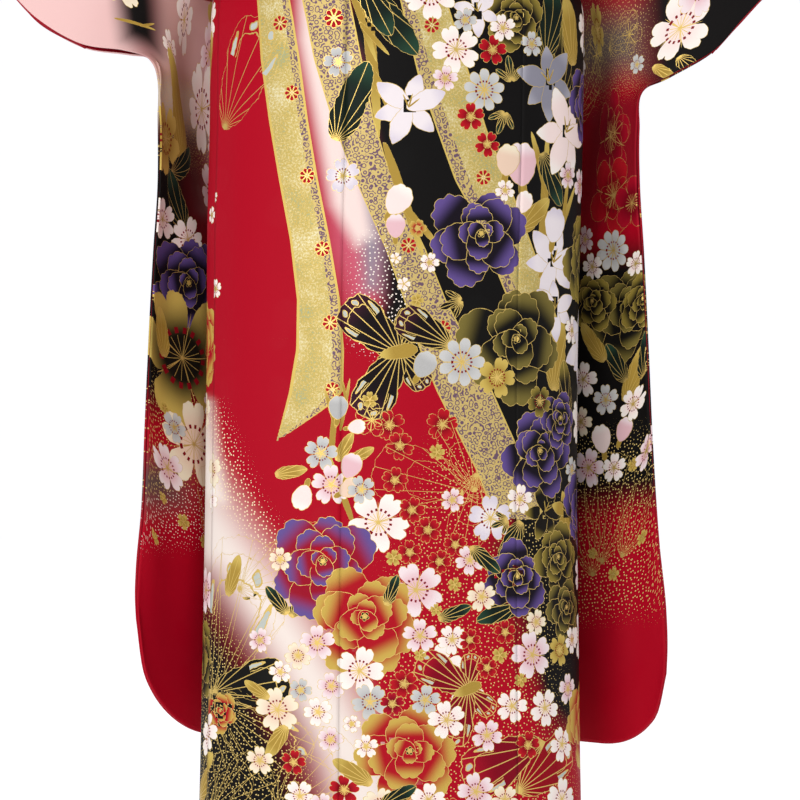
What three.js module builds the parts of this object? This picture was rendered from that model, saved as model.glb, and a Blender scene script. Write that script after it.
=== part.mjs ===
// A furisode, the long-sleeved kimono, as it is worn: left front over right, tucked up at the waist
// under a plain obi, arms held a little away from the sides so that both long sleeves hang free.
// Millimetres, +Z up, +X to the wearer's left, the front faces -Y. The origin is on the shoulder line,
// at the middle of the neck, where the wearer's shoulders carry the cloth.
import * as THREE from "three";
import { mergeVertices } from "three/addons/utils/BufferGeometryUtils.js";

// ---- Driving dimensions ------------------------------------------------------------------------
const CLOTH = 2; // outer silk, interlining and lining together
const SEAM = 0.3; // between two sewn pieces
const HEM = -1380; // hem below the shoulder line
const LAP = 5.8; // how far the wrapped cloth climbs in one turn round the wearer
const LAP_FROM = { front: -20, frontOver: 60, back: -120, backOver: 100 }; // heights where it begins
const HALF_SLEEVE_SEAM = 262; // centre back to the sleeve seam, level
const BODY_COLUMNS = 13;
const COLLAR_SLANT = 0.66; // collar's run inwards for each millimetre down
const COLLAR_FROM = -42; // height where the straight slant starts
const COLLAR_AT = 88; // its distance from the middle there
const COLLAR_WIDE = 52; // collar folded in half
const COLLAR_THICK = 1.9;
const COLLAR_LEAN = 0.25; // how far its lip leans back over the shoulder
const COLLAR_LIES = { from: -30, over: 40 }; // heights over which it comes to lie on the chest
const SHOULDER_TOP = -6;
const OBI_TOP = -252;
const OBI_FOOT = -402;
const OBI_CLOTH = 2.4;
const OBI_PITCH = 3; // one wind to the next
const OBI_EASE = 6.8; // from the figure to the inside of the first wind
const OBI_FLARE = 5; // the top edge stands off the sides a little
const OBI_START = 170; // degrees where its inner end lies, at the back
const OBI_TURNS = 740; // degrees that it is wound through
const OBI_STEPS = 84;
const OBI_FLARED = -262; // height above which it stands off
const SKIRT_TOP = -402; // meets the inside of the waist tuck
const SIDE_SEAM = 41; // degrees round from the centre front
const OKUMI_SEAM = -14.5; // seam of the overlap panel, same measure
const FRONT_EDGE = -67.7; // free edge of the overlap, same measure
const CORNER_LIFT = 18; // rise of the front hem corner
const LIFT_FROM = -1140; // height where that rise begins
const PANEL_GAP = 0.06; // degrees given up on each side of a panel for the seam
const CUFF_FACING = 45; // depth of the crimson lining inside the cuff
const FACING_CLOTH = 1;
const FACING_EASE = 0.6; // between the sleeve and its facing
const FACING_TURN = 1.008; // the facing just shows past the edge of the cuff

// A table: the names of its columns, then its rows.
const table = (columns, ...rows) =>
  rows.map((row) => Object.fromEntries(columns.split(" ").map((column, i) => [column, row[i]])));

// Half width and half depth of the dressed figure, and the half depth left open at its side.
const TORSO = table(
  "z wide deep side",
  [0, 262, 103, 72],
  [-200, 262, 112, 72],
  [-212, 240, 113, 68],
  [-226, 215, 114, 58],
  [-238, 196, 115, 44],
  [-250, 170, 116, 26],
  [-262, 160, 117, 12],
  [-285, 160, 118, 0.4],
  [-330, 161, 119, 0.2],
  [OBI_FOOT, 168, 123, 0.2],
  [-428, 196, 136, 0.2],
  [-450, 213, 146, 0.2],
  [-466, 212, 145, 0.2],
);
// Rows of an upper panel: heights at its inner edge and at its outer edge, below the shoulder's arch.
const BODY_ROWS = table(
  "inner outer",
  [-150, -212],
  [-205, -226],
  [-240, -238],
  [-251, -250],
  [-262, -262],
  [-273, -273],
  [-285, -285],
  [-308, -308],
  [-331, -331],
  [-355, -355],
  [-379, -379],
  [-402, -402],
  [-428, -428],
  [-450, -450],
  [-466, -466],
);
const ARCH = [0, 22, 45, 67, 90]; // degrees round the shoulder's arch
// Middle of the neck to the collar's seam, at each step round the arch.
const NECK_EDGE = { front: [93, 93, 88, 80, 62], back: [93, 84, 68, 44, SEAM / 2] };
const SHOULDER = table(
  "x fall front back",
  [0, 4, 115, 25],
  [60, 6, 115, 25],
  [150, 28, 95, 42],
  [205, 62, 75, 55],
  [262, 135, 62, 62],
);
const SKIRT = table(
  "z wide deep middle",
  [SKIRT_TOP, 160.7, 115.7, 0],
  [-420, 171, 120, 0.5],
  [-440, 189, 126, 2],
  [-472, 200, 130, 6],
  [-560, 203, 133, 6],
  [-700, 203, 131, 3],
  [-905, 201.5, 126, 0.5],
  [-1275, 206, 122, -1],
  [HEM, 208.2, 124, -1.3],
);
const SKIRT_ROWS = [SKIRT_TOP, -414, -428, -444, -472, -530, -610, -720, -850, -1000, -1140, -1270, HEM];
// Lip of the collar from its seam, from the end under the obi up to the nape.
const COLLAR_LIP = table(
  "row across up",
  [12, -43, 29],
  [6, -43, 29],
  [5, -43, 30],
  [4, -42, 33],
  [3, -38, 36],
  [2, -32, 41],
  [1, -27, 44],
  [0, -24, 46],
  [-1, -18, 48],
  [-2, -12, 50],
  [-3, -6, 51],
  [-4, 0, 52],
);
// Rows of a sleeve below the arm: its edge towards the body, the pull of its middle, its outer edge,
// half the distance between its two layers at each, and the share of the cuff's sag that it takes.
const SLEEVE_ROWS = table(
  "ix iy iz mx my mz ox oy oz hi hm ho sag",
  [240, 0, -212, 312, 24, -375, 384, 26, -490, 68, 58, 34, 0],
  [215, 0, -226, 290, 38, -425, 335, 24, -518, 58, 50, 25, 0.15],
  [196, 0, -238, 272, 58, -480, 290, 21, -525, 44, 40, 13, 0.68],
  [208, 36, -312, 255, 85, -545, 257, 20, -536, 36, 30, 2.3, 0.86],
  [217, 93, -400, 240, 108, -612, 252, 20, -595, 28, 24, 2.3, 0.4],
  [183, 149, -500, 218, 122, -688, 252, 20, -665, 20, 18, 2.3, 0],
  [92, 163, -640, 198, 138, -770, 257, 20, -750, 13, 15, 2.3, 0],
  [46, 168, -800, 189, 142, -880, 262, 20, -860, 11, 14, 2.3, 0],
  [37, 166, -960, 188, 141, -1000, 266, 20, -980, 10, 14, 2.3, 0],
  [36, 165, -1100, 188, 140, -1115, 270, 20, -1095, 10, 13, 2.3, 0],
  [36, 165, -1190, 188, 140, -1195, 276, 20, -1180, 9, 10, 2.3, 0],
  [36, 165, -1240, 188, 140, -1243, 277, 20, -1235, 7, 6, 2.3, 0],
  [36, 165, -1262, 188, 140, -1262, 276, 20, -1262, 2.3, 2.3, 2.3, 0],
);
// The fold along the arm: at the shoulder seam, half way and at the wrist, and the tube round the arm.
const ARM = {
  ix: 262, iy: 0, iz: -135, mx: 362, my: 14, mz: -280, ox: 462, oy: 25, oz: -425,
  leanIn: 0, leanMiddle: 0.5, leanOut: 0.85,
  roundIn: 62, roundMiddle: 55, roundOut: 42,
  hi: 72, hm: 60, ho: 40,
};
// What differs between the two: how far the hanging part stands out, and flares further at its foot,
// how far the cuff sags and the foot drops, and the radius of the lower corner.
const SLEEVES = table(
  "name side out flare sag drop corner",
  ["sleeve_right", -1, 0, 0, 0, 16, 134],
  ["sleeve_left", 1, 19, 6, 36, 24, 82],
);
const OUT_FROM = -500; // height of the outer edge where a sleeve hangs free
const FOOT = { from: -900, over: 300 }; // heights over which the foot's drop and flare come in
const CORNER_ROW = 10; // row where the rounding of the lower corner begins
const FOLDS = { depth: 9, count: 1.5, start: 0.4 }; // soft hanging folds of a sleeve
const SLEEVE_COLUMNS = 13;
const SHOULDER_BLEND = 0.16; // share of the sleeve that carries on the line of the shoulder
const SHOULDER_LAID = 0.9; // how much of its width that share takes up
const SLEEVE_WIDE = 330; // body seam to cuff, laid flat
const EDGE_SQUARE = 6; // how late the two layers close towards the outer edge
const HANGS_OVER = 4; // rows over which the sleeve turns from the arm to hanging straight
const NEAR_SEAM = 0.94; // point of the body that gives the direction of the shoulder line
const STEP = 0.02; // step for a slope

// ---- Cloth -------------------------------------------------------------------------------------
const silk = (color) => new THREE.MeshStandardMaterial({ color, roughness: 0.45, metalness: 0 });
const CRIMSON = silk(0xb4001e);
const BLACK = silk(0x17110f);
const LINING = silk(0xc40f2c);
const GOLD = silk(0xb89a4e);

// ---- Curves and tables -------------------------------------------------------------------------
const radians = THREE.MathUtils.degToRad;
const mix = THREE.MathUtils.lerp;
const share = (n) => Array.from({ length: n }, (_, i) => i / (n - 1));
const soft = (t) => THREE.MathUtils.smoothstep(t, 0, 1);

// Reads a table at a height or width: every column, on a smooth curve through the rows.
function read(rows, key, at) {
  const order = Math.sign(rows[1][key] - rows[0][key]);
  let i = 0;
  while (i < rows.length - 2 && order * (at - rows[i + 1][key]) > 0) i++;
  const a = rows[i];
  const b = rows[i + 1];
  const span = b[key] - a[key];
  const t = THREE.MathUtils.clamp((at - a[key]) / span, 0, 1);
  const slope = (p, q, column) => (q[column] - p[column]) / (q[key] - p[key]);
  const bend = (before, here, after, column) => {
    if (!before || !after) return slope(before || here, after || here, column);
    const s = slope(before, here, column);
    const r = slope(here, after, column);
    return s * r > 0 ? (2 * s * r) / (s + r) : 0;
  };
  const out = {};
  for (const column of Object.keys(a)) {
    if (typeof a[column] !== "number") continue;
    const m0 = bend(rows[i - 1], a, b, column) * span;
    const m1 = bend(a, b, rows[i + 2], column) * span;
    const t2 = t * t;
    const t3 = t2 * t;
    out[column] =
      (2 * t3 - 3 * t2 + 1) * a[column] +
      (t3 - 2 * t2 + t) * m0 +
      (3 * t2 - 2 * t3) * b[column] +
      (t3 - t2) * m1;
  }
  return out;
}

const curve = (t, a, b, c) => (1 - t) * (1 - t) * a + 2 * t * (1 - t) * b + t * t * c;

// ---- Walls -------------------------------------------------------------------------------------
// The same grid moved back along the cloth's own normal. `turned` is true where the grid runs the
// other way round.
function setBack(grid, distance, turned) {
  const last = grid.length - 1;
  const end = grid[0].length - 1;
  const at = (i, j) => grid[THREE.MathUtils.clamp(i, 0, last)][THREE.MathUtils.clamp(j, 0, end)];
  return grid.map((line, i) =>
    line.map((point, j) => {
      const down = at(i + 1, j).clone().sub(at(i - 1, j));
      const along = at(i, j + 1).clone().sub(at(i, j - 1));
      const normal = down.cross(along).normalize();
      return point.clone().addScaledVector(normal, (turned ? 1 : -1) * distance);
    }),
  );
}

// A closed wall of cloth: grid[i][j] is a point of its outer face.
function wall(name, material, grid, thickness, turned = false) {
  const rows = grid.length;
  const columns = grid[0].length;
  const points = grid.flat();
  const back = points.length;
  const id = (i, j) => i * columns + j;
  const faces = [];
  for (let i = 0; i < rows - 1; i++) {
    for (let j = 0; j < columns - 1; j++) {
      const [a, b, c, d] = [id(i, j), id(i + 1, j), id(i + 1, j + 1), id(i, j + 1)];
      faces.push(a, b, c, a, c, d);
      faces.push(back + a, back + c, back + b, back + a, back + d, back + c);
    }
  }
  const edge = [];
  for (let i = 0; i < rows - 1; i++) edge.push(id(i, 0));
  for (let j = 0; j < columns - 1; j++) edge.push(id(rows - 1, j));
  for (let i = rows - 1; i > 0; i--) edge.push(id(i, columns - 1));
  for (let j = columns - 1; j > 0; j--) edge.push(id(0, j));
  edge.forEach((p, n) => {
    const q = edge[(n + 1) % edge.length];
    faces.push(q, p, back + p, q, back + p, back + q);
  });
  const all = points.concat(setBack(grid, thickness, turned).flat());
  const places = all.flatMap((p) => [p.x, p.y, p.z]);
  let volume = 0;
  for (let f = 0; f < faces.length; f += 3) {
    const [p, q, r] = [all[faces[f]], all[faces[f + 1]], all[faces[f + 2]]];
    volume += p.dot(q.clone().cross(r));
  }
  if (volume < 0) faces.reverse();
  const geometry = new THREE.BufferGeometry();
  geometry.setAttribute("position", new THREE.Float32BufferAttribute(places, 3));
  geometry.setIndex(faces);
  const mesh = new THREE.Mesh(mergeVertices(geometry, 1e-4), material);
  mesh.name = name;
  return mesh;
}

// ---- Figure ------------------------------------------------------------------------------------
// side is 1 for the wearer's left, whose cloth lies outermost, and -1 for the right. Angles run from
// the centre front towards the piece's own side.
const climb = (side, angle) => side * LAP * (0.5 - angle / 360);

// How deep the dressed figure is at x and z, in front (facing -1) or behind (facing 1).
function depthAt(x, z, facing) {
  const ring = read(TORSO, "z", z);
  const shoulder = read(SHOULDER, "x", Math.min(Math.abs(x), HALF_SLEEVE_SEAM));
  const arch = facing < 0 ? shoulder.front : shoulder.back;
  const drop = THREE.MathUtils.clamp((-shoulder.fall - z) / arch, 0, 1);
  const across = Math.min(1, Math.abs(x) / ring.wide);
  const full = ring.side + (ring.deep - ring.side) * Math.sqrt(1 - across * across);
  return facing * full * Math.sqrt(1 - (1 - drop) ** 2);
}

// A point on the figure at x and z, moved out by how far the wrapped cloth has climbed there.
function figurePoint(side, facing, x, z) {
  const ring = read(TORSO, "z", z);
  const angle = Math.asin(THREE.MathUtils.clamp(x / ring.wide, -1, 1));
  const turn = THREE.MathUtils.radToDeg(facing < 0 ? angle : Math.PI - angle);
  const out = new THREE.Vector2(Math.sin(angle) / ring.wide, (facing * Math.cos(angle)) / ring.deep);
  out.normalize();
  const laid = soft((LAP_FROM.front - z) / LAP_FROM.frontOver);
  const laidBehind = facing < 0 ? 1 : soft((LAP_FROM.back - z) / LAP_FROM.backOver);
  const lapped = climb(side, turn) * laid * laidBehind;
  return new THREE.Vector3(side * (x + out.x * lapped), depthAt(x, z, facing) + out.y * lapped, z);
}

// A point of an upper panel: row 0 is the shoulder line, t runs from its inner edge to the sleeve.
function upperPoint(side, facing, row, t) {
  const arched = row < ARCH.length;
  const level = arched ? null : BODY_ROWS[row - ARCH.length];
  const wide = read(TORSO, "z", arched ? 0 : level.outer).wide;
  const inner = arched ? archInner(facing, row) : lowInner(facing, level.inner);
  const from = Math.asin(THREE.MathUtils.clamp(inner / wide, -1, 1));
  const x = wide * Math.sin(mix(from, Math.PI / 2, t));
  const shoulder = read(SHOULDER, "x", Math.min(Math.abs(x), HALF_SLEEVE_SEAM));
  const arch = facing < 0 ? shoulder.front : shoulder.back;
  const archFall = arched ? arch * (1 - Math.cos(radians(ARCH[row]))) : 0;
  const z = arched ? -shoulder.fall - archFall : mix(level.inner, level.outer, t);
  return figurePoint(side, facing, x, z);
}
const neckline = (z) => COLLAR_AT - (COLLAR_FROM - z) * COLLAR_SLANT;
const archInner = (facing, row) => (facing < 0 ? NECK_EDGE.front : NECK_EDGE.back)[row];
const lowInner = (facing, z) => (facing < 0 ? neckline(z) : SEAM / 2);

// One half of the body: up the front, over the shoulder and down the back in one length.
function upperBody(name, side, material) {
  const last = ARCH.length + BODY_ROWS.length - 1;
  const columns = share(BODY_COLUMNS);
  const grid = [];
  for (let row = last; row >= 0; row--) grid.push(columns.map((t) => upperPoint(side, -1, row, t)));
  for (let row = 1; row <= last; row++) grid.push(columns.map((t) => upperPoint(side, 1, row, t)));
  return wall(name, material, grid, CLOTH, side < 0);
}

// ---- Collar ------------------------------------------------------------------------------------
// The folded band round the neck, from the left end, over the nape, down to the right end.
function collarGrid() {
  const collarRows = Array.from({ length: COLLAR_LIP[0].row + ARCH.length }, (_, i) => COLLAR_LIP[0].row - i);
  const half = (side) =>
    collarRows.map((row) => {
      const { across, up } = read(COLLAR_LIP, "row", row);
      const facing = row < 0 ? 1 : -1;
      const seam = upperPoint(side, facing, Math.abs(row), 0);
      const parted = (5 * SEAM) / COLLAR_WIDE; // clear of the folded seam allowance
      return share(4).map((t) => {
        const s = mix(parted, 1, t);
        const x = side * seam.x + across * s;
        const z = seam.z + up * s + (row < 0 ? 2 * SEAM : 0);
        const lying = soft((COLLAR_LIES.from - seam.z) / COLLAR_LIES.over);
        const onChest = figurePoint(side, -1, x, Math.min(z, SHOULDER_TOP));
        const standing = new THREE.Vector3(side * x, row < 0 ? seam.y : seam.y * (1 - COLLAR_LEAN * s), z);
        return standing.lerp(onChest.setZ(z), lying * (row < 0 ? 0 : 1));
      });
    });
  return half(1).concat(half(-1).reverse().slice(1));
}
const collar = () => wall("collar", BLACK, collarGrid(), COLLAR_THICK);

// ---- Obi ---------------------------------------------------------------------------------------
// A plain band wound twice round the waist, its end lying flat at the back.
function obi() {
  const heights = share(4).map((t) => mix(OBI_TOP, OBI_FOOT, t));
  const grid = share(OBI_STEPS).map((t) => {
    const turned = OBI_TURNS * t;
    const angle = radians(OBI_START + turned);
    const out = OBI_EASE + OBI_CLOTH + (OBI_PITCH * turned) / 360;
    return heights.map((z) => {
      const ring = read(TORSO, "z", z);
      const wide = ring.wide + out + (z > OBI_FLARED ? OBI_FLARE : 0);
      return new THREE.Vector3(wide * Math.sin(angle), -(ring.deep + out) * Math.cos(angle), z);
    });
  });
  return wall("obi", GOLD, grid, OBI_CLOTH);
}

// ---- Skirt -------------------------------------------------------------------------------------
function skirtPoint(side, angle, z) {
  const ring = read(SKIRT, "z", z);
  const out = climb(side, angle);
  const turn = radians(angle);
  return new THREE.Vector3(
    ring.middle + side * (ring.wide + out) * Math.sin(turn),
    -(ring.deep + out) * Math.cos(turn),
    z,
  );
}

// A panel of the skirt between two angles, its hem lifted towards the free front edge.
function skirtPanel(name, side, from, to, columns, material) {
  const grid = SKIRT_ROWS.map((z) =>
    share(columns).map((t) => {
      const angle = mix(from - PANEL_GAP, to + PANEL_GAP, t);
      const lift = CORNER_LIFT * soft(angle / FRONT_EDGE) * soft((z - LIFT_FROM) / (HEM - LIFT_FROM));
      return skirtPoint(side, angle, z + lift);
    }),
  );
  return wall(name, material, grid, CLOTH, side > 0);
}

// ---- Sleeves -----------------------------------------------------------------------------------
function sleeveRow(spec, row) {
  if (row >= ARCH.length) {
    const r = { ...SLEEVE_ROWS[row - ARCH.length] };
    const low = (z) => soft((FOOT.from - z) / FOOT.over);
    r.ox += r.oz < OUT_FROM ? spec.out + spec.flare * low(r.oz) : 0;
    r.oz -= spec.sag * r.sag;
    for (const key of ["iz", "mz", "oz"]) r[key] -= spec.drop * low(r[key]);
    return r;
  }
  const turn = radians(ARCH[row]);
  const fall = 1 - Math.cos(turn);
  const r = { ...ARM };
  for (const [k, lean, round] of [
    ["i", ARM.leanIn, ARM.roundIn],
    ["m", ARM.leanMiddle, ARM.roundMiddle],
    ["o", ARM.leanOut, ARM.roundOut],
  ]) {
    r[k + "x"] -= lean * round * fall;
    r[k + "z"] -= Math.sqrt(1 - lean * lean) * round * fall;
    r["h" + k] *= Math.sin(turn);
  }
  return r;
}

// The middle of the sleeve at a share t of its width, and half the distance between its layers.
function sleeveMiddle(spec, row, t) {
  const r = sleeveRow(spec, row);
  const along = (a, b, c) => curve(t, a, b, c);
  const point = new THREE.Vector3(along(r.ix, r.mx, r.ox), along(r.iy, r.my, r.oy), along(r.iz, r.mz, r.oz));
  const edge = Math.sqrt(Math.max(0, 1 - t ** EDGE_SQUARE));
  const open = row <= SEAM_FOOT;
  const apart = along(r.hi, r.hm, r.ho);
  const half = open ? apart : r.ho + (apart - r.ho) * edge;
  return { point, half };
}

const SEAM_FOOT = ARCH.length + 2; // the last row sewn to the body
const LAST_SLEEVE_ROW = ARCH.length + SLEEVE_ROWS.length - 1;

// A point of one layer: facing -1 is the front layer, 1 the back one.
function sleevePoint(spec, facing, row, t) {
  const { point, half } = sleeveMiddle(spec, row, t);
  const wide = sleeveMiddle(spec, row, t + STEP).point.sub(sleeveMiddle(spec, row, t - STEP).point);
  const long = sleeveMiddle(spec, Math.min(row + 1, LAST_SLEEVE_ROW), t).point;
  long.sub(sleeveMiddle(spec, Math.max(row - 1, 0), t).point);
  const normal = long.cross(wide).normalize();
  if (normal.y > 0) normal.negate();
  const hung = soft((row - ARCH.length - 1) / HANGS_OVER);
  normal.lerp(new THREE.Vector3(0, -1, 0), 1 - hung).normalize();
  const wave = Math.sin(2 * Math.PI * FOLDS.count * t + FOLDS.start) * (1 - t ** 3);
  const swell = FOLDS.depth * hung * (wave - Math.sin(FOLDS.start) * (1 - t));
  const fromEdge = Math.max(0, 1 - t) * SLEEVE_WIDE;
  const round = Math.max(0, spec.corner - fromEdge);
  const cut = spec.corner - Math.sqrt(spec.corner ** 2 - round ** 2);
  point.addScaledVector(normal, swell - facing * half);
  point.z += cut * soft((row - CORNER_ROW) / (LAST_SLEEVE_ROW - CORNER_ROW));
  return point.setX(point.x * spec.side);
}

// The sleeve is one length folded along the arm: up the front layer, over the fold, down the back.
function sleeveGrid(spec, columns, rows) {
  const line = (facing, row) =>
    columns.map((t) => {
      const free = sleevePoint(spec, facing, row, t);
      if (row > SEAM_FOOT) return free;
      const edge = upperPoint(spec.side, facing, row, 1);
      const away = edge.clone().sub(upperPoint(spec.side, facing, row, NEAR_SEAM)).normalize();
      const sewn = edge.addScaledVector(away, 2 * SEAM + SHOULDER_LAID * SLEEVE_WIDE * t);
      return free.lerp(sewn, 1 - soft(t / SHOULDER_BLEND));
    });
  const grid = [];
  for (let row = rows; row >= 0; row--) grid.push(line(-1, row));
  for (let row = 1; row <= rows; row++) grid.push(line(1, row));
  return grid;
}

function sleeve(spec) {
  const columns = [0, 0.04, ...share(SLEEVE_COLUMNS).slice(1)];
  return wall(spec.name, BLACK, sleeveGrid(spec, columns, LAST_SLEEVE_ROW), CLOTH, spec.side < 0);
}

// The lining shows as a narrow crimson facing just inside each cuff.
function cuffLining(spec) {
  const from = 1 - CUFF_FACING / SLEEVE_WIDE;
  const columns = share(4).map((t) => mix(from, FACING_TURN, t));
  const turned = spec.side < 0;
  const outside = sleeveGrid(spec, columns, ARCH.length + 1);
  const inside = setBack(outside, CLOTH + FACING_EASE, turned);
  return wall(spec.name.replace("sleeve", "cuff_lining"), LINING, inside, FACING_CLOTH, turned);
}

// ---- The garment -------------------------------------------------------------------------------
const furisode = new THREE.Group();
for (const [word, side, front] of [["left", 1, BLACK], ["right", -1, CRIMSON]]) {
  furisode.add(upperBody("body_" + word, side, front));
  furisode.add(skirtPanel("back_" + word, side, 180, SIDE_SEAM, 15, BLACK));
  furisode.add(skirtPanel("front_" + word, side, SIDE_SEAM, OKUMI_SEAM, 8, BLACK));
  furisode.add(skirtPanel("okumi_" + word, side, OKUMI_SEAM, FRONT_EDGE, 8, CRIMSON));
}
furisode.add(collar(), obi());
for (const spec of SLEEVES) furisode.add(sleeve(spec), cuffLining(spec));

export default furisode;
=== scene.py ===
import math

import bmesh
import bpy
import numpy as np
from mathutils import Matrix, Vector
from bpy.props import FloatProperty, FloatVectorProperty, PointerProperty


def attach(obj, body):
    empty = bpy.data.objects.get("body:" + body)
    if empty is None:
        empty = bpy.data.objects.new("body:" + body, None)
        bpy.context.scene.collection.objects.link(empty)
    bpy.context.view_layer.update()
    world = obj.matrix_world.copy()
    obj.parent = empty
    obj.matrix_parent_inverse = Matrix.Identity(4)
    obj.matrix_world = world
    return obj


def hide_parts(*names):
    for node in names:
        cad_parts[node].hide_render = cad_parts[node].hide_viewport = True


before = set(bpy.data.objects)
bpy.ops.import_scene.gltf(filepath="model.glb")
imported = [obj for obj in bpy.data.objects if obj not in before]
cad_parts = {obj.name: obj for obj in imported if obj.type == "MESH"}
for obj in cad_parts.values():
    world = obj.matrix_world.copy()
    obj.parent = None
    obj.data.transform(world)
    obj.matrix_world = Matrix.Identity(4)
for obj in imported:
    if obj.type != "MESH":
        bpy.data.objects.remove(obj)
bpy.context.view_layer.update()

# A furisode as it is worn: the dyed silk of each panel, the crimson lining and the woven obi.
# Metres, +Z up, +X to the wearer's left, the front faces -Y. The origin lies on the shoulder line.
bl_info = {
    "name": "Furisode",
    "version": (1, 0, 0),
    "blender": (4, 5, 0),
    "location": "View3D > Sidebar > Furisode",
    "description": "Dyed long-sleeved kimono with its obi",
    "category": "Add Mesh",
}

MM = 0.001

# ---- The cut, in millimetres ---------------------------------------------------------------------
HEM = -1380
HALF_SLEEVE_SEAM = 262
LAP_FROM, LAP_OVER = -20, 60  # heights where the wrapped cloth begins to climb, and over which it does
LAP_FROM_BEHIND, LAP_OVER_BEHIND = -120, 100
COLLAR_SLANT = 0.66  # collar's run inwards for each millimetre down
COLLAR_AT, COLLAR_FROM = 88, -42  # its distance from the middle, at the height where the slant starts
COLLAR_LEAN = 0.25  # how far its lip leans back over the shoulder
COLLAR_LIES, COLLAR_LIES_OVER = -30, 40  # heights over which it comes to lie on the chest
COLLAR_COLUMNS = 4
SHOULDER_TOP = -6
OBI_TOP, OBI_FOOT = -252, -402
OBI_OUT = 9.2  # from the figure to the outside of the first wind
OBI_PITCH = 3  # one wind to the next
OBI_COLUMNS, OBI_ROWS = 169, 7
OBI_FLARE, OBI_FLARED = 5, -262  # how far the top edge stands off, above which height
OBI_START, OBI_TURNS = 170, 740  # degrees where the inner end lies, and that the band is wound through
SIDE_SEAM, OKUMI_SEAM, FRONT_EDGE = 41, -14.5, -67.7  # degrees round from the centre front
CORNER_LIFT, LIFT_FROM = 18, -1140  # rise of the front hem corner, and the height where it begins
PANEL_GAP = 0.03  # degrees left open on each side of a seam
COLUMN_TURN = 3  # degrees between columns of the skirt, before the mesh is made finer
SLEEVE_WIDE = 330
CUFF_FACING = 45
FACING_CLOTH, FACING_COLUMNS = 1, 7
FACING_EASE = 0.6  # between the sleeve and its facing
FACING_TURN = 1.008  # the facing just shows past the edge of the cuff
SEAM = 0.3


def table(columns, *rows):
    """Rows of numbers under named columns."""
    names = columns.split()
    return [dict(zip(names, row)) for row in rows]


# Half width, half depth and middle of the dressed figure, and the half depth left open at its side.
TORSO = table(
    "z wide deep side",
    (0, 262, 103, 72), (-200, 262, 112, 72), (-212, 240, 113, 68), (-226, 215, 114, 58),
    (-238, 196, 115, 44), (-250, 170, 116, 26), (-262, 160, 117, 12), (-285, 160, 118, 0.4),
    (-330, 161, 119, 0.2), (-402, 168, 123, 0.2), (-428, 196, 136, 0.2), (-450, 213, 146, 0.2),
    (-466, 212, 145, 0.2),
)
# Heights of an upper panel's rows at its inner and outer edge, below the arch of the shoulder.
BODY_ROWS = [(-150, -212), (-205, -226), (-240, -238), (-251, -250), (-262, -262), (-273, -273),
             (-285, -285), (-308, -308), (-331, -331), (-355, -355), (-379, -379), (-402, -402),
             (-428, -428), (-450, -450), (-466, -466)]
ARCH = [0, 22, 45, 67, 90]
NECK_EDGE = {-1: [93, 93, 88, 80, 62], 1: [93, 84, 68, 44, SEAM / 2]}
SHOULDER = table(
    "x fall front back",
    (0, 4, 115, 25), (60, 6, 115, 25), (150, 28, 95, 42), (205, 62, 75, 55), (262, 135, 62, 62),
)
SKIRT = table(
    "z wide deep middle",
    (-402, 160.7, 115.7, 0), (-420, 171, 120, 0.5), (-440, 189, 126, 2), (-472, 200, 130, 6),
    (-560, 203, 133, 6), (-700, 203, 131, 3), (-905, 201.5, 126, 0.5), (-1275, 206, 122, -1),
    (HEM, 208.2, 124, -1.3),
)
SKIRT_ROWS = [-402, -414, -428, -444, -472, -530, -610, -720, -850, -1000, -1140, -1270, HEM]
# Lip of the collar from its seam, from the end under the obi up to the nape.
COLLAR_LIP = table(
    "row across up",
    (12, -43, 29), (11, -43, 29), (10, -43, 29), (9, -43, 29), (8, -43, 29), (7, -43, 29),
    (6, -43, 29), (5, -43, 30), (4, -42, 33), (3, -38, 36), (2, -32, 41), (1, -27, 44),
    (0, -24, 46), (-1, -18, 48), (-2, -12, 50), (-3, -6, 51), (-4, 0, 52),
)
# Rows of a sleeve below the arm: inner edge, pull of the middle, outer edge, half its thickness, and
# the share of the cuff's sag that the row takes.
SLEEVE_ROWS = table(
    "ix iy iz mx my mz ox oy oz hi hm ho sag",
    (240, 0, -212, 312, 24, -375, 384, 26, -490, 68, 58, 34, 0),
    (215, 0, -226, 290, 38, -425, 335, 24, -518, 58, 50, 25, 0.15),
    (196, 0, -238, 272, 58, -480, 290, 21, -525, 44, 40, 13, 0.68),
    (208, 36, -312, 255, 85, -545, 257, 20, -536, 36, 30, 2.3, 0.86),
    (217, 93, -400, 240, 108, -612, 252, 20, -595, 28, 24, 2.3, 0.4),
    (183, 149, -500, 218, 122, -688, 252, 20, -665, 20, 18, 2.3, 0),
    (92, 163, -640, 198, 138, -770, 257, 20, -750, 13, 15, 2.3, 0),
    (46, 168, -800, 189, 142, -880, 262, 20, -860, 11, 14, 2.3, 0),
    (37, 166, -960, 188, 141, -1000, 266, 20, -980, 10, 14, 2.3, 0),
    (36, 165, -1100, 188, 140, -1115, 270, 20, -1095, 10, 13, 2.3, 0),
    (36, 165, -1190, 188, 140, -1195, 276, 20, -1180, 9, 10, 2.3, 0),
    (36, 165, -1240, 188, 140, -1243, 277, 20, -1235, 7, 6, 2.3, 0),
    (36, 165, -1262, 188, 140, -1262, 276, 20, -1262, 2.3, 2.3, 2.3, 0),
)
ARM = {"ix": 262, "iy": 0, "iz": -135, "mx": 362, "my": 14, "mz": -280, "ox": 462, "oy": 25,
       "oz": -425, "hi": 72, "hm": 60, "ho": 40}
ARM_ROUND = {"i": (0, 62), "m": (0.5, 55), "o": (0.85, 42)}  # lean and radius of the tube
SLEEVES = {
    "right": {"side": -1, "out": 0, "flare": 0, "sag": 0, "drop": 16, "corner": 134},
    "left": {"side": 1, "out": 19, "flare": 6, "sag": 36, "drop": 24, "corner": 82},
}
OUT_FROM = -500  # height of the outer edge where a sleeve hangs free
FOOT_FROM, FOOT_OVER = -900, 300  # heights over which the foot's drop and flare come in
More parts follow.
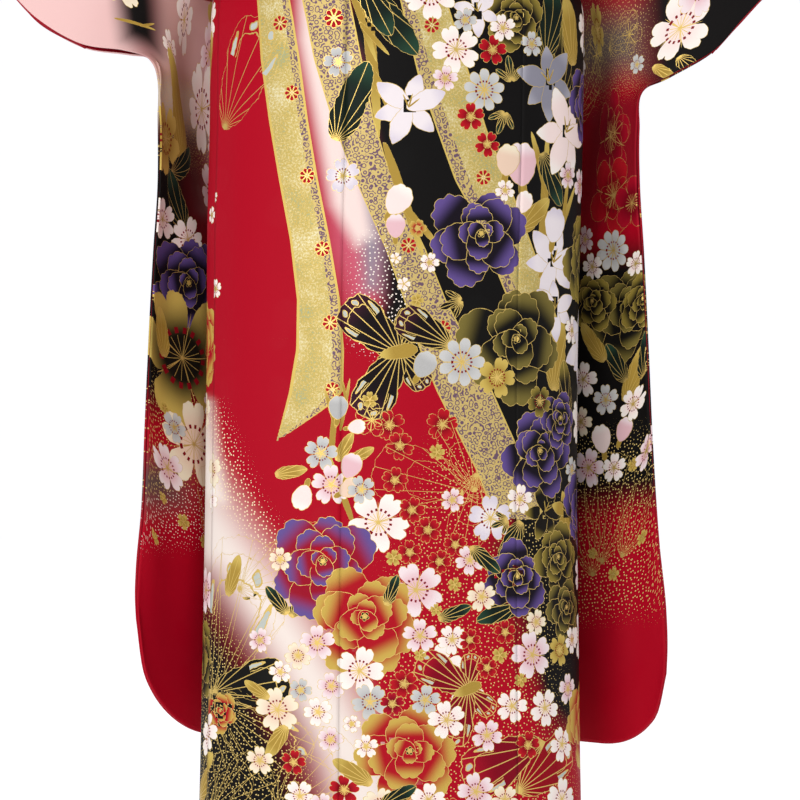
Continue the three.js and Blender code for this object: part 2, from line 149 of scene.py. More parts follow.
CORNER_ROW = 10  # row where the rounding of the lower corner begins
SLANT = 1.28  # the drawing sees a sleeve slantwise, so what is drawn there is wider on the cloth
FOLD_DEPTH, FOLD_COUNT, FOLD_START = 9, 1.5, 0.4
COLUMNS = 25  # across a body panel or a sleeve, before the mesh is made finer
SEAM_COLUMNS = [0, 0.02, 0.04, 0.06]  # the first ones of a sleeve, closer together
SHOULDER_BLEND = 0.16  # share of the sleeve that carries on the line of the shoulder
SHOULDER_LAID = 0.9  # how much of its width that share takes up
EDGE_SQUARE = 6  # how late the two layers close towards the outer edge
HANGS_OVER = 4  # rows over which the sleeve turns from the arm to hanging straight
NEAR_SEAM = 0.94  # point of the body that gives the direction of the shoulder line
SLOPE_STEP = 0.02
SEAM_FOOT = len(ARCH) + 2  # the last row sewn to the body
LAST_SLEEVE_ROW = len(ARCH) + len(SLEEVE_ROWS) - 1


# ---- Curves and tables ---------------------------------------------------------------------------
def soft(t):
    """A share from 0 to 1 that starts and ends gently."""
    t = min(1, max(0, t))
    return t * t * (3 - 2 * t)


def mix(a, b, t):
    """The value a share t of the way from a to b."""
    return a + (b - a) * t


def share(n):
    """Evenly spaced shares from 0 to 1."""
    return [i / (n - 1) for i in range(n)]


def bend(a, b, c, t):
    """A point on the curve from a to c that b pulls at."""
    return (1 - t) ** 2 * a + 2 * t * (1 - t) * b + t * t * c


def read(rows, key, at):
    """Read every column of a table at a place, on a smooth curve through its rows."""
    order = 1 if rows[1][key] > rows[0][key] else -1
    i = 0
    while i < len(rows) - 2 and order * (at - rows[i + 1][key]) > 0:
        i += 1
    a, b = rows[i], rows[i + 1]
    span = b[key] - a[key]
    t = min(1, max(0, (at - a[key]) / span))

    def slope(p, q, column):
        return (q[column] - p[column]) / (q[key] - p[key])

    def tangent(before, here, after, column):
        if before is None or after is None:
            return slope(before or here, after or here, column)
        s, r = slope(before, here, column), slope(here, after, column)
        return 2 * s * r / (s + r) if s * r > 0 else 0

    before = rows[i - 1] if i > 0 else None
    after = rows[i + 2] if i + 2 < len(rows) else None
    out = {}
    for column in a:
        m0 = tangent(before, a, b, column) * span
        m1 = tangent(a, b, after, column) * span
        out[column] = ((2 * t ** 3 - 3 * t ** 2 + 1) * a[column] + (t ** 3 - 2 * t ** 2 + t) * m0
                       + (3 * t ** 2 - 2 * t ** 3) * b[column] + (t ** 3 - t ** 2) * m1)
    return out


def through(knots, values, at):
    """A smooth curve through values, one for each knot, read at other places."""
    knots, values, at = (np.asarray(v, float) for v in (knots, values, at))
    step = np.diff(knots)[:, None, None]
    slope = np.diff(values, axis=0) / step
    tangent = np.concatenate((slope[:1], slope))
    tangent[1:-1] = (slope[:-1] * step[1:] + slope[1:] * step[:-1]) / (step[1:] + step[:-1])
    i = np.clip(np.searchsorted(knots, at, side="right") - 1, 0, len(knots) - 2)
    h = step[i]
    t = ((at - knots[i]) / np.diff(knots)[i])[:, None, None]
    return ((2 * t ** 3 - 3 * t ** 2 + 1) * values[i] + (t ** 3 - 2 * t ** 2 + t) * tangent[i] * h
            + (3 * t ** 2 - 2 * t ** 3) * values[i + 1] + (t ** 3 - t ** 2) * tangent[i + 1] * h)


def refine(grid, cell):
    """Rows and columns of a coarse grid of cloth, spaced about one cell apart."""
    for _ in range(2):
        apart = np.linalg.norm(np.diff(grid[..., :3], axis=0), axis=2)
        knots = np.concatenate(([0], np.cumsum(apart.mean(axis=1))))
        count = max(len(grid), round(float(apart.sum(axis=0).max()) / cell) + 1)
        grid = through(knots, grid, np.linspace(0, knots[-1], count)).transpose(1, 0, 2)
    return grid


# ---- Form of the pieces, as in the solids ----------------------------------------------------------
def climb(side, angle):
    """How far the wrapped cloth stands off at an angle."""
    return side * SIZES.lap / MM * (0.5 - angle / 360)


def depth_at(x, z, facing):
    """How far the figure reaches forwards or back at a place, rounded over the shoulder."""
    ring = read(TORSO, "z", z)
    shoulder = read(SHOULDER, "x", min(abs(x), HALF_SLEEVE_SEAM))
    arch = shoulder["front"] if facing < 0 else shoulder["back"]
    drop = min(1, max(0, (-shoulder["fall"] - z) / arch))
    across = min(1, abs(x) / ring["wide"])
    full = ring["side"] + (ring["deep"] - ring["side"]) * math.sqrt(1 - across ** 2)
    return facing * full * math.sqrt(1 - (1 - drop) ** 2)


def figure_point(side, facing, x, z):
    """A point of cloth on the figure."""
    ring = read(TORSO, "z", z)
    angle = math.asin(min(1, max(-1, x / ring["wide"])))
    turn = math.degrees(angle if facing < 0 else math.pi - angle)
    out = np.array([math.sin(angle) / ring["wide"], facing * math.cos(angle) / ring["deep"]])
    out /= np.linalg.norm(out)
    low = 1 if facing < 0 else soft((LAP_FROM_BEHIND - z) / LAP_OVER_BEHIND)
    lapped = climb(side, turn) * soft((LAP_FROM - z) / LAP_OVER) * low
    return np.array([side * (x + out[0] * lapped), depth_at(x, z, facing) + out[1] * lapped, z])


def upper_point(side, facing, row, t):
    """A point of an upper panel, from its inner edge to the sleeve seam."""
    arched = row < len(ARCH)
    level = None if arched else BODY_ROWS[row - len(ARCH)]
    wide = read(TORSO, "z", 0 if arched else level[1])["wide"]
    if arched:
        inner = NECK_EDGE[facing][row]
    else:
        inner = COLLAR_AT - (COLLAR_FROM - level[0]) * COLLAR_SLANT if facing < 0 else SEAM / 2
    start = math.asin(min(1, max(-1, inner / wide)))
    x = wide * math.sin(mix(start, math.pi / 2, t))
    shoulder = read(SHOULDER, "x", min(abs(x), HALF_SLEEVE_SEAM))
    arch = shoulder["front"] if facing < 0 else shoulder["back"]
    if arched:
        z = -shoulder["fall"] - arch * (1 - math.cos(math.radians(ARCH[row])))
    else:
        z = mix(level[0], level[1], t)
    return figure_point(side, facing, x, z)


def body_grid(side):
    """Rows of an upper panel, up the front and down the back."""
    last = len(ARCH) + len(BODY_ROWS) - 1
    order = [(-1, row) for row in range(last, -1, -1)] + [(1, row) for row in range(1, last + 1)]
    return np.array([[upper_point(side, facing, row, t) for t in share(COLUMNS)] for facing, row in order])


def collar_grid():
    """Rows of the collar from one end round the nape to the other."""
    def half(side):
        rows = []
        for lip in COLLAR_LIP:
            row, facing = lip["row"], 1 if lip["row"] < 0 else -1
            seam = upper_point(side, facing, abs(row), 0)
            line = []
            for t in share(COLLAR_COLUMNS):
                x = side * seam[0] + lip["across"] * t
                z = seam[2] + lip["up"] * t
                stand = np.array([side * x, seam[1] if row < 0 else seam[1] * (1 - COLLAR_LEAN * t), z])
                chest = figure_point(side, -1, x, min(z, SHOULDER_TOP))
                chest[2] = z
                lying = soft((COLLAR_LIES - seam[2]) / COLLAR_LIES_OVER) if row >= 0 else 0
                line.append(mix(stand, chest, lying))
            rows.append(line)
        return rows
    return np.array(half(1) + half(-1)[::-1][1:])


def obi_grid():
    """Rows across the obi, wound about the waist in a spiral."""
    rows = []
    for t in share(OBI_COLUMNS):
        turned_through = OBI_TURNS * t
        out = OBI_OUT + OBI_PITCH * turned_through / 360
        angle = math.radians(OBI_START + turned_through)
        line = []
        for s in share(OBI_ROWS):
            z = mix(OBI_TOP, OBI_FOOT, s)
            ring = read(TORSO, "z", z)
            wide = ring["wide"] + out + (OBI_FLARE if z > OBI_FLARED else 0)
            line.append((wide * math.sin(angle), -(ring["deep"] + out) * math.cos(angle), z))
        rows.append(line)
    return np.array(rows)


def skirt_point(side, angle, z):
    """A point of the wrapped skirt, at degrees round from the centre front."""
    ring = read(SKIRT, "z", z)
    out, turn = climb(side, angle), math.radians(angle)
    return (ring["middle"] + side * (ring["wide"] + out) * math.sin(turn),
            -(ring["deep"] + out) * math.cos(turn), z)


def skirt_grid(side, start, end):
    """Rows of a skirt panel from the waist down: point, degrees round and height."""
    rows = []
    for z in SKIRT_ROWS:
        line = []
        for t in share(max(5, round(abs(start - end) / COLUMN_TURN))):
            angle = mix(start - PANEL_GAP, end + PANEL_GAP, t)
            lift = CORNER_LIFT * soft(angle / FRONT_EDGE) * soft((z - LIFT_FROM) / (HEM - LIFT_FROM))
            line.append(skirt_point(side, angle, z + lift) + (side * angle, z))
        rows.append(line)
    return np.array(rows)


def sleeve_row(spec, row):
    """The three places, and half thicknesses, that shape a row of a sleeve."""
    if row >= len(ARCH):
        r = dict(SLEEVE_ROWS[row - len(ARCH)])
        if r["oz"] < OUT_FROM:
            r["ox"] += spec["out"] + spec["flare"] * soft((FOOT_FROM - r["oz"]) / FOOT_OVER)
        r["oz"] -= spec["sag"] * r["sag"]
        for key in ("iz", "mz", "oz"):
            r[key] -= spec["drop"] * soft((FOOT_FROM - r[key]) / FOOT_OVER)
        return r
    turn = math.radians(ARCH[row])
    fall = 1 - math.cos(turn)
    r = dict(ARM)
    for k, (lean, round_) in ARM_ROUND.items():
        r[k + "x"] -= lean * round_ * fall
        r[k + "z"] -= math.sqrt(1 - lean ** 2) * round_ * fall
        r["h" + k] *= math.sin(turn)
    return r


def sleeve_middle(spec, row, t):
    """A point midway between a sleeve's layers, and half the distance between them."""
    r = sleeve_row(spec, row)
    point = np.array([bend(r["i" + k], r["m" + k], r["o" + k], t) for k in "xyz"])
    half = bend(r["hi"], r["hm"], r["ho"], t)
    if row > SEAM_FOOT:
        half = r["ho"] + (half - r["ho"]) * math.sqrt(max(0, 1 - t ** EDGE_SQUARE))
    return point, half


def sleeve_point(spec, facing, row, t):
    """A point of a sleeve's front or back layer."""
    point, half = sleeve_middle(spec, row, t)
    wide = sleeve_middle(spec, row, t + SLOPE_STEP)[0] - sleeve_middle(spec, row, t - SLOPE_STEP)[0]
    long = (sleeve_middle(spec, min(row + 1, LAST_SLEEVE_ROW), t)[0]
            - sleeve_middle(spec, max(row - 1, 0), t)[0])
    normal = np.cross(long, wide)
    normal /= np.linalg.norm(normal) * (-1 if normal[1] > 0 else 1)
    hung = soft((row - len(ARCH) - 1) / HANGS_OVER)
    normal = mix(normal, np.array([0, -1, 0]), 1 - hung)
    normal /= np.linalg.norm(normal)
    swell = FOLD_DEPTH * hung * (1 - t ** 3) * math.sin(2 * math.pi * FOLD_COUNT * t + FOLD_START)
    level = FOLD_DEPTH * hung * math.sin(FOLD_START) * (1 - t)
    point = point + normal * (-facing * half + swell - level)
    edge, corner = max(0, 1 - t) * SLEEVE_WIDE, spec["corner"]
    cut = corner - math.sqrt(corner ** 2 - (corner - edge) ** 2) if edge < corner else 0
    point[2] += cut * soft((row - CORNER_ROW) / (LAST_SLEEVE_ROW - CORNER_ROW))
    point[0] *= spec["side"]
    return point


def sleeve_grid(spec, columns, rows):
    """Rows of a sleeve, up the front and down the back, blended into the shoulder's line."""
    def line(facing, row):
        out = []
        for t in columns:
            free = sleeve_point(spec, facing, row, t)
            if row <= SEAM_FOOT:
                edge = upper_point(spec["side"], facing, row, 1)
                away = edge - upper_point(spec["side"], facing, row, NEAR_SEAM)
                sewn = edge + away / np.linalg.norm(away) * (2 * SEAM + SHOULDER_LAID * SLEEVE_WIDE * t)
                free = mix(free, sewn, 1 - soft(t / SHOULDER_BLEND))
            out.append(free)
        return out
    order = [(-1, row) for row in range(rows, -1, -1)] + [(1, row) for row in range(1, rows + 1)]
    return np.array([line(facing, row) for facing, row in order])


# ---- Colours ---------------------------------------------------------------------------------------
def linear(text):
    """Linear RGB of an sRGB hex colour."""
    parts = [int(text[i:i + 2], 16) / 255 for i in (1, 3, 5)]
    return tuple(c / 12.92 if c <= 0.04045 else ((c + 0.055) / 1.055) ** 2.4 for c in parts)


def rgba(text):
    """The same with full alpha, as a colour socket takes it."""
    return linear(text) + (1.0,)


# ---- The drawing of the design ---------------------------------------------------------------------
# The dyed design is drawn on a sheet of 800 steps, as seen from straight in front of the skirt or from
# straight behind it: x runs right, y runs down and the obi lies above the top edge.
EYE_X, EYE_Z, EYE_AWAY = 0.011, -0.905, 3.5
HALF_VIEW = 0.4348  # half the width that the eye sees at the garment's middle
MIDDLE = 400
STEP = HALF_VIEW / MIDDLE


def drawn(points):
    """Where points of the cloth lie on the drawing. The back is drawn as the front's mirror image."""
    scale = EYE_AWAY / (EYE_AWAY - np.abs(points[..., 1])) / STEP
    x = MIDDLE + (points[..., 0] - EYE_X) * scale
    y = MIDDLE - (points[..., 2] - EYE_Z) * scale
    return np.stack((x, y), axis=-1)


PALETTES = {  # tip and heart of a petal
    "white": ("#f4ece2", "#f3ddd6"), "cream": ("#efe3c6", "#e7c9b0"), "blush": ("#ecdcdc", "#e0b6bb"),
    "lilac": ("#d6ccd6", "#e9dfe0"), "silver": ("#c6c5c1", "#b2b1ae"), "grey": ("#a4a2ab", "#8a8893"),
    "red": ("#b3121f", "#8f0014"), "plum": ("#a80a24", "#7c0018"), "purple": ("#5f4b88", "#140d18"),
    "wine": ("#624e8c", "#940a24"), "ember": ("#c4a44c", "#a80c1c"), "olive": ("#8c7a34", "#15110b"),
    "night": ("#756831", "#0e0c09"), "gold": ("#c9ae57", "#a8893a"), "leaf": ("#23402f", "#101c15"),
    "dark": ("#14130f", "#0f0e0b"), "smoke": ("#3a1626", "#12090c"), "amber": ("#c9ae57", "#15110b"),
}
# Outline of one petal: its reach from the middle, at shares of the way from its tip to its side.
OUTLINES = {
    "cherry": ((0, 0.84), (0.1, 0.95), (0.3, 1.0), (0.6, 0.93), (0.84, 0.74), (1, 0.4)),
    "plum": ((0, 1.0), (0.25, 0.99), (0.5, 0.93), (0.75, 0.8), (0.92, 0.66), (1, 0.56)),
    "daisy": ((0, 1.0), (0.3, 0.98), (0.6, 0.92), (0.85, 0.82), (0.95, 0.74), (1, 0.7)),
    "petal": ((0, 0.9), (0.06, 1.0), (0.15, 0.99), (0.21, 0.88), (0.27, 0.93), (0.38, 0.85), (0.62, 0.74),
        (0.8, 0.8), (1, 0.95)),
    "ruffle": ((0, 1.0), (0.05, 0.98), (0.1, 0.87), (0.15, 0.94), (0.2, 0.95), (0.26, 0.82), (0.34, 0.86),
        (0.5, 0.76), (0.72, 0.8), (1, 0.95)),
    "tepal": ((0, 1.0), (0.04, 0.89), (0.1, 0.76), (0.2, 0.61), (0.32, 0.53), (0.5, 0.47), (0.7, 0.48),
        (0.88, 0.66), (1, 0.95)),
    "leaf": ((0, 1.0), (0.06, 0.86), (0.16, 0.6), (0.3, 0.42), (0.5, 0.34), (0.72, 0.42), (0.9, 0.74),
        (1, 1.0)),
    "wing": ((0, 0.97), (0.05, 1.0), (0.1, 0.95), (0.15, 0.98), (0.2, 0.9), (0.3, 0.7), (0.55, 0.46),
        (0.8, 0.6), (1, 0.98)),
}
CODES = {name: code for code, name in enumerate(OUTLINES)}
LINE = 0.55 * MM  # half a line of gold paste
STAMENS, VEINS, CELLS = 1, 2, 3


def primitive(outline, x, y, size, turn, palette, petals=1, marks=0, fill=1.0, line=LINE, slim=1.0):
    """One drawn shape, in metres on the cloth: middle, reach, turn in degrees, colours and width."""
    tip, heart = PALETTES[palette]
    return {"outline": outline, "code": CODES[outline], "x": x, "y": y, "size": size,
            "turn": math.radians(turn), "petals": petals, "marks": marks, "line": line / size, "slim": slim,
            "tip": linear(tip) + (fill,), "heart": linear(heart) + (1.0,)}


def spread(x, y, reach, turn):
    """A place at a reach and turn from another; turn 0 points right and 90 up the cloth."""
    return x + reach * math.cos(math.radians(turn)), y + reach * math.sin(math.radians(turn))


def ghost(x, y, size, turn, palette):
    """A plum blossom in gold line alone."""
    return [primitive("plum", x, y, size, turn, palette, 5, 0, 0.0),
            primitive("plum", x, y, size * 0.6, turn + 36, palette, 5, 0, 0.0)]


def rosette(x, y, size, turn, palette):
    """A small red wheel woven in a ribbon."""
    return [primitive("daisy", x, y, size, turn, palette, 8, 0, 1.0, LINE * 1.3),
            primitive("plum", x, y, size * 0.3, turn, "cream", 4)]


def ring(x, y, size, turn, palette, petals, reach, long):
    """A ring of overlapping petals round a middle, no two of them alike."""
    shapes = []
    for k in range(petals):
        uneven = math.sin(2.3 * k + turn)
        at = turn + k * 360 / petals + 9 * uneven
        px, py = spread(x, y, reach * size * (1 + 0.08 * uneven), at)
        outline = "ruffle" if (k + round(turn)) % 2 else "petal"
        petal = long * size * (1 + 0.14 * math.sin(3.1 * k + turn))
        shapes.append(primitive(outline, px, py, petal, at, palette))
    return shapes


def peony(x, y, size, turn, palette):
    """Four rings of ruffled petals round a gold heart."""
    ax, ay = spread(x, y, 0.06 * size, turn)
    bx, by = spread(x, y, 0.1 * size, turn + 40)
    return (ring(x, y, size, turn, palette, 6, 0.56, 0.5)
            + ring(ax, ay, size, turn + 31, palette, 5, 0.38, 0.42)
            + ring(bx, by, size, turn + 74, palette, 4, 0.2, 0.32)
            + ring(bx, by, size, turn + 20, palette, 3, 0.09, 0.2)
            + [primitive("plum", bx, by, size * 0.09, turn, "dark", 5),
               primitive("daisy", bx, by, size * 0.055, turn, "gold", 6)])


def lily(x, y, size, turn, palette):
    """Six pointed petals, three over three, with gold stamens."""
    shapes = []
    for k in (0, 2, 4, 1, 3, 5):
        at = turn + k * 60 + 8 * math.sin(1.7 * k + turn)
        long = size * (0.64 if k % 2 else 0.56)
        px, py = spread(x, y, long * 0.86, at)
        shapes.append(primitive("tepal", px, py, long, at, palette))
    for at in (turn - 36, turn, turn + 40):
        px, py = spread(x, y, size * 0.2, at)
        shapes.append(primitive("leaf", px, py, size * 0.22, at, "gold", slim=0.3))
    return shapes


def leaves(x, y, size, turn, palette):
    """Three leaves fanned from one stalk."""
    shapes = []
    for at, long in ((-48, 0.8), (48, 0.8), (0, 1.0)):
        px, py = spread(x, y, size * 0.55 * long, turn + at)
        shapes.append(primitive("leaf", px, py, size * 0.52 * long, turn + at, palette, 1, VEINS))
    return shapes


def bud(x, y, size, turn, palette):
    """One petal in a gold cup."""
    bx, by = spread(x, y, size * 0.9, turn + 180)
    return [primitive("leaf", bx, by, size * 0.6, turn, "gold"),
            primitive("petal", x, y, size, turn, palette)]


def stalk(x, y, size, turn, palette):
    """A slender blade with a side shoot."""
    px, py = spread(x, y, size * 0.5, turn + 14)
    return [primitive("leaf", x, y, size, turn, palette, slim=0.2),
            primitive("leaf", px, py, size * 0.5, turn + 22, palette, slim=0.3)]


def butterfly(x, y, size, turn, palette):
    """Four celled wings and a body."""
    shapes = []
    for at, long in ((-118, 0.62), (118, 0.62), (-52, 1.0), (52, 1.0)):
        px, py = spread(x, y, size * 0.55 * long, turn + at)
        shapes += motif("wing", px, py, size * 0.6 * long, turn + at, palette)
    return shapes + [primitive("leaf", x, y, size * 0.3, turn, "gold")]


def fan(x, y, size, turn, palette):
    """Veins in gold line that spread from a point."""
    px, py = spread(x, y, size * 0.25, turn + 180)
    return [primitive("wing", x, y, size, turn, palette, 1, VEINS, 0.0, LINE * 0.7),
            primitive("wing", px, py, size * 0.62, turn, palette, 1, 0, 0.0, LINE * 0.7)]


# Motifs of one shape: outline, petals, marks, how far it is filled, half its line.
SINGLE = {
    "cherry": ("cherry", 5, STAMENS, 1.0, LINE), "plum": ("plum", 5, STAMENS, 1.0, LINE),
    "daisy": ("daisy", 9, STAMENS, 1.0, LINE), "star": ("cherry", 5, 0, 1.0, LINE),
    "leaf": ("leaf", 1, VEINS, 1.0, LINE), "wing": ("wing", 1, CELLS, 1.0, LINE * 1.5),
    "gauze": ("wing", 1, CELLS, 0.0, LINE),
}
COMPOUND = {f.__name__: f for f in (ghost, rosette, peony, lily, leaves, bud, stalk, butterfly, fan)}


def motif(kind, x, y, size, turn, palette):
    """The drawn shapes of one motif."""
    if kind in SINGLE:
        outline, *rest = SINGLE[kind]
        return [primitive(outline, x, y, size, turn, palette, *rest)]
    return COMPOUND[kind](x, y, size, turn, palette)


